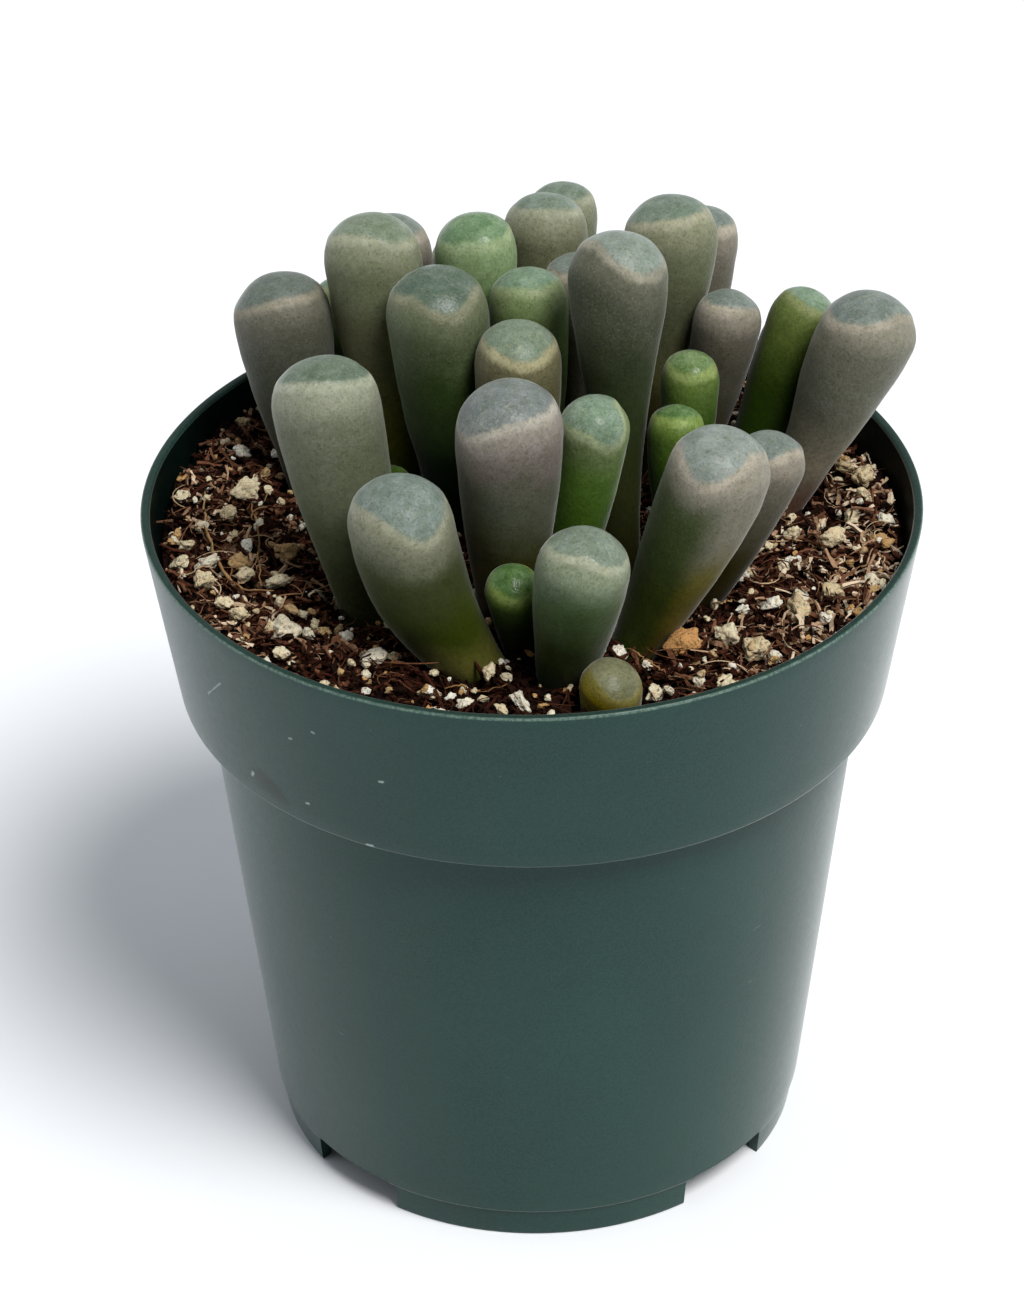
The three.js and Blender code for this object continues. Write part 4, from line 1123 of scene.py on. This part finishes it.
def ball(level):
    """The points and triangles of a round ball"""
    shape = bmesh.new()
    bmesh.ops.create_icosphere(shape, subdivisions=level, radius=1)
    points = np.array([v.co[:] for v in shape.verts])
    faces = np.array([[v.index for v in face.verts] for face in shape.faces])
    shape.free()
    return points, faces


def lumps(sizes, random, level, roughness, planes=11, sharpness=9):
    """Broken lumps with blunt corners, flatter than they are wide"""
    points, faces = ball(level)
    shapes = []
    for size in sizes:
        ways = random.normal(size=(planes, 3))
        ways /= np.linalg.norm(ways, axis=1, keepdims=True)
        depths = random.uniform(*LUMP["depths"], planes)
        toward = points @ ways.T
        least = LUMP["facing"]
        cuts = np.where(toward > least, depths / np.maximum(toward, least), LUMP["far"])
        reach = -np.log(np.exp(-sharpness * cuts).sum(axis=1)) / sharpness
        uneven = 1
        for wave, share in LUMP["waves"]:
            uneven = uneven + roughness * share * ripple(points, wave, random, LUMP["wave_count"])
        stretch = np.array([random.uniform(*span) for span in LUMP["stretch"]])
        shapes.append(points * (np.minimum(reach, LUMP["reach"]) * uneven)[:, None] * stretch * size)
    return shapes, faces


def chips(sizes, random, sides):
    """Flat chips with torn outlines"""
    turns = np.arange(sides) * 2 * np.pi / sides
    ring = np.arange(sides)
    after = np.roll(ring, -1)
    faces = np.concatenate([
        halved(grid_faces(2, sides)),
        np.column_stack([sides + ring, sides + after, np.full(sides, 2 * sides)]),
        np.column_stack([after, ring, np.full(sides, 2 * sides + 1)]),
    ])
    shapes = []
    for size in sizes:
        reach = size * random.uniform(*BARK["reach"], sides)
        narrow = random.uniform(*BARK["narrow"])
        thick = random.uniform(*BARK["thick"]) * size + BARK["least_thick"]
        flat = np.column_stack([reach * np.cos(turns), reach * np.sin(turns) * narrow])
        lift = random.uniform(*BARK["bend"]) / size * flat[:, 0] ** 2
        low = lift - thick / 2 + random.normal(0, BARK["low_roughness"], sides)
        high = lift + thick / 2 + random.normal(0, BARK["high_roughness"], sides)
        middle = thick * BARK["middle_share"]
        shapes.append(np.concatenate([
            np.column_stack([flat, low]), np.column_stack([flat * BARK["high_share"], high]),
            [[0, 0, middle], [0, 0, -middle]],
        ]))
    return shapes, faces


def loose_bits(name, kind, shaper, material, random):
    """Many bits of one kind as one piece, with random sizes and places"""
    sizes = drawn_sizes(kind, random)
    shapes, faces = shaper(sizes, random, **kind["shape"])
    places = drawn_places(sizes, random)
    heights = laid(places, sizes, kind["lay"])
    shapes = turned_shapes(shapes, random, kind["tilt"])
    tints = random.beta(*kind["tints"], kind["count"])
    # Painted light and shade on the tints, for the kinds that take it
    if kind["gets_painted_light"]:
        tints = painted_light_and_shade(tints, places)
    joined_bits(name, shapes, faces, places, heights, tints, material)


def splinters_piece(random):
    """Short, torn shreds of wood and coir, a little curled, lying at all angles"""
    stations = np.array([-0.5, -0.25, 0.0, 0.25, 0.5])
    corners = np.array([[-1, -1], [1, -1], [1, 1], [-1, 1]])
    last = len(corners) * (len(stations) - 1)
    faces = np.concatenate([
        halved(grid_faces(len(stations), len(corners))), [[0, 2, 1], [0, 3, 2]],
        [[last, last + 1, last + 2], [last, last + 2, last + 3]],
    ])
    lengths = random.gamma(*SPLINTERS["length"], SPLINTERS["count"]) + SPLINTERS["least_length"]
    shapes = []
    for length in lengths:
        width = random.uniform(*SPLINTERS["width"])
        curl = random.normal(0, SPLINTERS["curl"]) * length * (0.5 - 2 * stations ** 2)
        thick = width * random.uniform(*SPLINTERS["flatness"])
        taper = random.uniform(*SPLINTERS["taper"], len(stations))
        wander = random.normal(0, SPLINTERS["wander"] * length, (2, len(stations)))
        middle = np.column_stack([stations * length, curl + wander[0], wander[1]])
        rim = corners[None] * taper[:, None, None] * [width, thick]
        rim = rim + random.normal(0, SPLINTERS["roughness"], rim.shape)
        ring = np.concatenate([np.zeros((*rim.shape[:2], 1)), rim], axis=2)
        shapes.append((middle[:, None] + ring).reshape(-1, 3))
    places = drawn_places(lengths * SPLINTERS["room"], random)
    heights = [pile.lay(x, y, *SPLINTERS["lay"]) + SPLINTERS["lift"] for x, y in places]
    tilted = []
    for shape in shapes:
        turn = Matrix.Rotation(random.uniform(0, 2 * math.pi), 3, "Z")
        lean = Matrix.Rotation(random.normal(0.0, SPLINTERS["lean"]), 3, "Y")
        roll = Matrix.Rotation(random.uniform(0, math.pi), 3, "X")
        tilted.append(shape @ np.array(turn @ lean @ roll).T)
    tints = painted_light_and_shade(random.beta(*SPLINTERS["tints"], SPLINTERS["count"]), places)
    material = mix_material("mix_splinters", SPLINTERS["stops"], grain_size=SPLINTERS["grain_size"])
    joined_bits("mix_splinters", tilted, faces, places, heights, tints, material)


# How a fibre thins out at its ends, along a part of half a wave, and how far it may twist
TAPER = {"from": 0.15, "span": 0.9, "shift": 0.05, "power": 0.5}
TWIST = 2


def fibre_shape(line, width, thickness, random):
    """A thin bent strip along a line of points"""
    line = np.asarray(line)
    along = np.gradient(line, axis=0)
    along /= np.maximum(np.linalg.norm(along, axis=1, keepdims=True), TINY)
    aside = np.cross(along, [0, 0, 1])
    aside /= np.maximum(np.linalg.norm(aside, axis=1, keepdims=True), TINY)
    over = np.cross(aside, along)
    phase = np.linspace(TAPER["from"], 1, len(line)) * np.pi * TAPER["span"] + TAPER["shift"]
    taper = np.sin(phase)[:, None] ** TAPER["power"]
    twist = random.uniform(0, np.pi) + np.linspace(0, random.uniform(-TWIST, TWIST), len(line))
    rings = []
    for turn in (0, 2 * np.pi / 3, 4 * np.pi / 3):
        angle = (twist + turn)[:, None]
        rings.append(line + taper * (aside * np.cos(angle) * width + over * np.sin(angle) * thickness))
    return np.stack(rings, axis=1).reshape(-1, 3)


def fibre_faces(knots):
    last = 3 * (knots - 1)
    return np.concatenate([halved(grid_faces(knots, 3)), [[0, 2, 1], [last, last + 1, last + 2]]])


def fibres_piece(random):
    """Loose fibres of coir, bent and a little arched"""
    knots = FIBRES["knots"]
    shapes = []
    places = []
    heights = []
    lengths = drawn_sizes(FIBRES, random)
    for (x, y), length in zip(drawn_places(lengths * FIBRES["room"], random), lengths):
        t = np.linspace(-0.5, 0.5, knots)
        heading = random.uniform(0, 2 * np.pi)
        angle = heading + random.normal(0, FIBRES["bend"]) * t * 2
        step = length / (knots - 1)
        line = np.column_stack([np.cumsum(np.cos(angle)) * step, np.cumsum(np.sin(angle)) * step])
        line -= line.mean(axis=0)
        tested = (line + [x, y])[[0, knots // 2, -1]]
        if not all(is_clear(*knot, FIBRES["knot_room"]) for knot in tested):
            continue
        rise = random.uniform(*FIBRES["slope"]) * t + random.uniform(*FIBRES["arch"]) * (0.25 - t * t) * 4
        line = np.column_stack([line, rise * FIBRES["rise_share"]])
        width = random.uniform(*FIBRES["width"])
        shapes.append(fibre_shape(line, width, width * FIBRES["flatness"], random))
        places.append((x, y))
        heights.append(pile.lay(x, y, *FIBRES["lay"]))
    tints = painted_light_and_shade(random.beta(*FIBRES["tints"], len(shapes)), places)
    material = mix_material("mix_fibres", FIBRES["stops"], dullness=FIBRES["dullness"])
    joined_bits("mix_fibres", shapes, fibre_faces(knots), places, heights, tints, material, True)


# Crumbs of perlite and pumice that can be told apart in the photo: place, size to the outermost corners
# and tint
NAMED_CRUMBS = [
    (26.4, -3.0, 1.0, 0.1), (34.6, 0.6, 0.8, 0.15), (32.3, -11.3, 1.1, 0.2), (27.6, -16.7, 1.0, 0.1),
    (19.9, -9.4, 0.8, 0.1), (25.0, -7.1, 0.7, 0.1), (19.8, -16.6, 0.65, 0.1), (7.9, -21.2, 0.8, 0.1),
    (5.5, -22.7, 0.75, 0.05), (15.2, -26.9, 0.8, 0.2), (22.3, -23.7, 0.7, 0.15), (17.9, -20.7, 1.1, 0.25),
    (-4.3, -25.9, 1.0, 0.3), (-28.9, 18.7, 1.1, 0.5), (-31.6, -9.9, 1.2, 0.4), (-29.5, -14.3, 1.1, 0.35),
    (-17.4, -20.9, 1.0, 0.35), (-15.2, -23.7, 1.0, 0.3), (-13.4, -21.9, 0.8, 0.35), (-27.6, -3.3, 0.8, 0.0),
    (-28.1, -6.4, 1.4, 0.65), (-26.6, 0.9, 0.8, 0.2), (-25.0, 13.0, 1.0, 0.05), (-23.7, -4.5, 1.2, 0.7),
    (-34.4, 4.6, 0.8, 0.3), (-33.6, -3.1, 1.0, 0.35), (-34.0, -6.4, 0.9, 0.3), (-27.1, 6.9, 0.9, 0.5),
    (-26.4, 9.6, 0.8, 0.6), (-9.7, -29.6, 0.7, 0.2), (-6.6, -30.5, 0.7, 0.15),
]

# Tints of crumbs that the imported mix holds, by place
CRUMB_TINTS = [
    (14.4, -20.9, 0.95), (33.6, -3.2, 0.72), (24.3, -15.3, 0.45), (-19.2, -18.4, 0.6), (-27.8, -16.1, 0.42),
    (-15.6, -26.2, 0.7),
]

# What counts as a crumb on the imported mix: its rise over the mix, its reach, its points and its least width
PACKED = {"rise": 0.62, "reach": 1.9, "points": 3, "width": 1.0}


def packed_crumbs():
    """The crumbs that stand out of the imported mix: place and size of each"""
    mesh = frame["nodes"]["potting_mix"].data
    points = np.array([v.co[:] for v in mesh.vertices]) / MM
    tops = points[points[:, 2] > SOIL_LEVEL + PACKED["rise"]]
    groups = []
    for point in tops[np.argsort(-tops[:, 2])]:
        near = [g for g in groups if np.hypot(*(g[0][:2] - point[:2])) < PACKED["reach"]]
        if near:
            near[0].append(point)
        else:
            groups.append([point])
    crumbs = []
    for group in groups:
        if len(group) >= PACKED["points"]:
            low, high = np.min(group, axis=0), np.max(group, axis=0)
            x, y, _ = (low + high) / 2
            crumbs.append((x, y, max(*(high - low)[:2], PACKED["width"]) / 2))
    return crumbs


def crumbs_piece(material, random):
    """The larger crumbs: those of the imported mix, and those that the photo shows beside them"""
    places = []
    sizes = []
    tints = []
    for x, y, size in packed_crumbs():
        drawn = random.uniform(*CRUMBS["tint"])
        known = (tint for tx, ty, tint in CRUMB_TINTS if math.hypot(tx - x, ty - y) < CRUMBS["tint_reach"])
        places.append((x, y))
        sizes.append(size)
        tints.append(next(known, drawn))
    for x, y, size, tint in NAMED_CRUMBS:
        if all(math.hypot(px - x, py - y) > CRUMBS["apart"] for px, py in places):
            places.append((x, y))
            sizes.append(size * CRUMBS["named_share"])
            tints.append(tint)
    shapes, faces = lumps(sizes, random, **CRUMBS["shape"])
    heights = laid(places, sizes, CRUMBS["lay"])
    shapes = turned_shapes(shapes, random, CRUMBS["tilt"])
    joined_bits("perlite_crumbs", shapes, faces, places, heights, tints, material, True)


# The puffed stone of the crumbs and grains
PORES = {"noise": (0.34, 3.0, 0.6), "range": (0.46, 0.3), "share": 0.8, "tone": (66, 44, 28), "depth": 0.3}
STAIN = {"noise": (0.9, 4.0, 0.7), "range": (0.45, 0.68), "share": 0.4, "tone": (150, 112, 66)}
PERLITE_MOTTLE = 0.35
PERLITE_STOPS = [
    (0.0, (222, 220, 208)), (0.35, (208, 196, 164)), (0.62, (176, 148, 106)), (0.8, (176, 140, 92)),
    (1.0, (186, 138, 86)),
]


def perlite_material():
    """Puffed stone: white to yellowish, with pores and stains of the mix"""
    material, tree, shader = new_material(
        "perlite", Roughness=0.8, IOR=1.45, Subsurface_Weight=0.1, Subsurface_Scale=0.4 * MM,
        Specular_IOR_Level=0.2,
    )
    pores = noise(tree, *PORES["noise"])
    tint = added(tree, value_of(tree, "tint"), centred(tree, pores), PERLITE_MOTTLE)
    colour = layered(tree, ramp(tree, tint, PERLITE_STOPS), [STAIN, PORES])
    plug(tree, shader, {"Base Color": colour, "Normal": bumps(tree, pores, PORES["depth"])})
    return material


# Long dry strands that can be told apart in the photo: points on the mix, thickness and tint
STRANDS = [
    ([(-32.0, 5.6), (-32.0, 0.1), (-30.4, -6.9), (-28.0, -10.0), (-24.8, -12.2)], 0.3, 0.75),
    ([(-27.5, 4.0), (-26.7, -0.1), (-26.4, -5.0), (-26.1, -10.1)], 0.22, 0.7),
    ([(-21.4, -12.9), (-20.0, -11.6), (-18.9, -10.8)], 0.32, 1.0),
    ([(33.1, 14.0), (33.6, 12.4), (34.0, 10.8)], 0.16, 0.95),
    ([(8.7, -21.1), (10.6, -23.4), (12.5, -25.9)], 0.2, 0.65),
    ([(16.9, -15.2), (18.0, -14.4), (19.1, -13.7)], 0.2, 0.8),
    ([(-34.0, -9.4), (-31.8, -7.8), (-30.0, -8.6)], 0.2, 0.9),
    ([(-8.4, -27.4), (-6.0, -27.0), (-2.6, -27.2)], 0.24, 0.6),
    ([(28.0, -9.2), (30.6, -8.0), (33.0, -8.4)], 0.17, 0.7),
]
STRAND = {
    "knots": 22, "line_rounds": 4, "wander": 0.09, "reach": 0.3, "sink": -0.6, "height_rounds": 3,
    "lift": 0.1, "thickness": (0.4, 0.9), "flatness": 0.7, "dullness": 0.7,
    "stops": [(0.0, (70, 42, 26)), (0.5, (124, 88, 54)), (0.8, (160, 126, 86)), (1.0, (190, 176, 150))],
}


def strands_piece(random):
    """The long strands, each lying over what the pile holds below it"""
    knots = STRAND["knots"]
    shapes = []
    for points, thickness, _ in STRANDS:
        at = np.linspace(0, 1, len(points))
        t = np.linspace(0, 1, knots)
        line = np.column_stack([np.interp(t, at, values) for values in zip(*points)])
        even_out(line, STRAND["line_rounds"])
        line += random.normal(0, STRAND["wander"], line.shape)
        heights = np.array([pile.lay(x, y, STRAND["reach"], thickness, STRAND["sink"]) for x, y in line])
        even_out(heights, STRAND["height_rounds"])
        uneven = thickness * random.uniform(*STRAND["thickness"], (knots, 1))
        line = np.column_stack([line, heights + STRAND["lift"]])
        shapes.append(fibre_shape(line, uneven, STRAND["flatness"] * uneven, random))
    tints = [tint for _, _, tint in STRANDS]
    places = [(0, 0)] * len(shapes)
    heights = [0] * len(shapes)
    material = mix_material("mix_strands", STRAND["stops"], dullness=STRAND["dullness"])
    joined_bits("mix_strands", shapes, fibre_faces(knots), places, heights, tints, material, True)


bed_piece()
perlite = perlite_material()
loose_bits("mix_grit", GRIT, lumps, mix_material("mix_grit", GRIT["stops"]), mix_random)
loose_bits("mix_bark", BARK, chips, mix_material("mix_bark", BARK["stops"]), mix_random)
splinters_piece(mix_random)
crumbs_piece(perlite, mix_random)
loose_bits("perlite_grains", GRAINS, lumps, perlite, mix_random)
fibres_piece(mix_random)
strands_piece(mix_random)


# Crown and roots, which the mix hides

CROWN_BARK = {
    "noise": (1.6, 4.0, 0.65, 0.0, (1.0, 1.0, 0.4)), "depth": 0.25,
    "stops": [(0.25, (84, 60, 40)), (0.55, (138, 106, 74)), (0.8, (178, 148, 110))],
}


def crown_material():
    material, tree, shader = new_material("crown_cork", Roughness=0.8)
    bark = noise(tree, *CROWN_BARK["noise"])
    colour = ramp(tree, bark, CROWN_BARK["stops"])
    plug(tree, shader, {"Base Color": colour, "Normal": bumps(tree, bark, CROWN_BARK["depth"])})
    return material


crown = frame["nodes"]["crown_and_roots"]
crown.data.materials.clear()
crown.data.materials.append(crown_material())


# Stage, light and camera. The light round the scene is weaker in front and stronger on both sides.

FLOOR_HALF = 3.0
FLOOR_COLOUR = (0.79, 0.81, 0.845, 1)
KEY_WAY = (0.345, -0.425, 0.86)
KEY_STRENGTH = 3.68
KEY_ANGLE = 26
KEY_COLOUR = (1.0, 0.985, 0.96)
AMBIENT = 0.635
AMBIENT_COLOUR = (0.92, 0.965, 1.0, 1)
FRONT_RANGE = (-0.75, 0.1)
FRONT_SHARE = 0.2
TOP_SHARE = 0.69
SIDE_BOOST = 1.15


def floor_piece():
    """A wide, plain, pale surface under the pot"""
    mesh = bpy.data.meshes.new("floor")
    corners = [(FLOOR_HALF * x, FLOOR_HALF * y, 0) for x, y in ((-1, -1), (1, -1), (1, 1), (-1, 1))]
    mesh.from_pydata(corners, [], [(0, 1, 2, 3)])
    floor = placed("floor", mesh)
    material, _, shader = new_material("floor_paper", Roughness=0.7)
    shader.inputs["Base Color"].default_value = FLOOR_COLOUR
    mesh.materials.append(material)


def add_lights():
    sun = bpy.data.lights.new("key", "SUN")
    sun.energy = KEY_STRENGTH
    sun.angle = math.radians(KEY_ANGLE)
    sun.color = KEY_COLOUR
    placed("key", sun).rotation_euler = Vector(KEY_WAY).to_track_quat("Z", "Y").to_euler()
    world = bpy.data.worlds.new("studio")
    bpy.context.scene.world = world
    world.use_nodes = True
    tree = world.node_tree
    way = add_node(tree, "ShaderNodeTexCoord").outputs["Generated"]
    share = spread(tree, axis_of(tree, way, "Y"), *FRONT_RANGE, FRONT_SHARE, 1.0)
    aside = axis_of(tree, way, "X")
    share = times(tree, share, added(tree, TOP_SHARE, times(tree, aside, aside), SIDE_BOOST))
    background = tree.nodes["Background"]
    background.inputs["Color"].default_value = AMBIENT_COLOUR
    plug(tree, background, {"Strength": times(tree, share, AMBIENT)})


def add_camera():
    pitch = math.radians(CAMERA_PITCH)
    roll = math.radians(CAMERA_ROLL)
    back = Vector((0, -math.cos(pitch), math.sin(pitch)))
    right = Vector((1, 0, 0))
    up = back.cross(right)
    place = back * CAMERA_DISTANCE + right * CAMERA_ASIDE + up * CAMERA_ABOVE
    turned_up = up * math.cos(roll) - right * math.sin(roll)
    right = right * math.cos(roll) + up * math.sin(roll)
    up = turned_up
    lens = bpy.data.cameras.new("camera")
    lens.sensor_width = SENSOR
    lens.lens = FOCAL_PIXELS * SENSOR / max(FRAME_WIDTH, FRAME_HEIGHT)
    lens.clip_start = CLIP_START
    camera = placed("camera", lens)
    camera.matrix_world = Matrix((
        (right.x, up.x, back.x, place.x * MM),
        (right.y, up.y, back.y, place.y * MM),
        (right.z, up.z, back.z, place.z * MM),
        (0, 0, 0, 1),
    ))
    bpy.context.scene.camera = camera


floor_piece()
add_lights()
add_camera()
bpy.context.scene.view_settings.view_transform = "Standard"
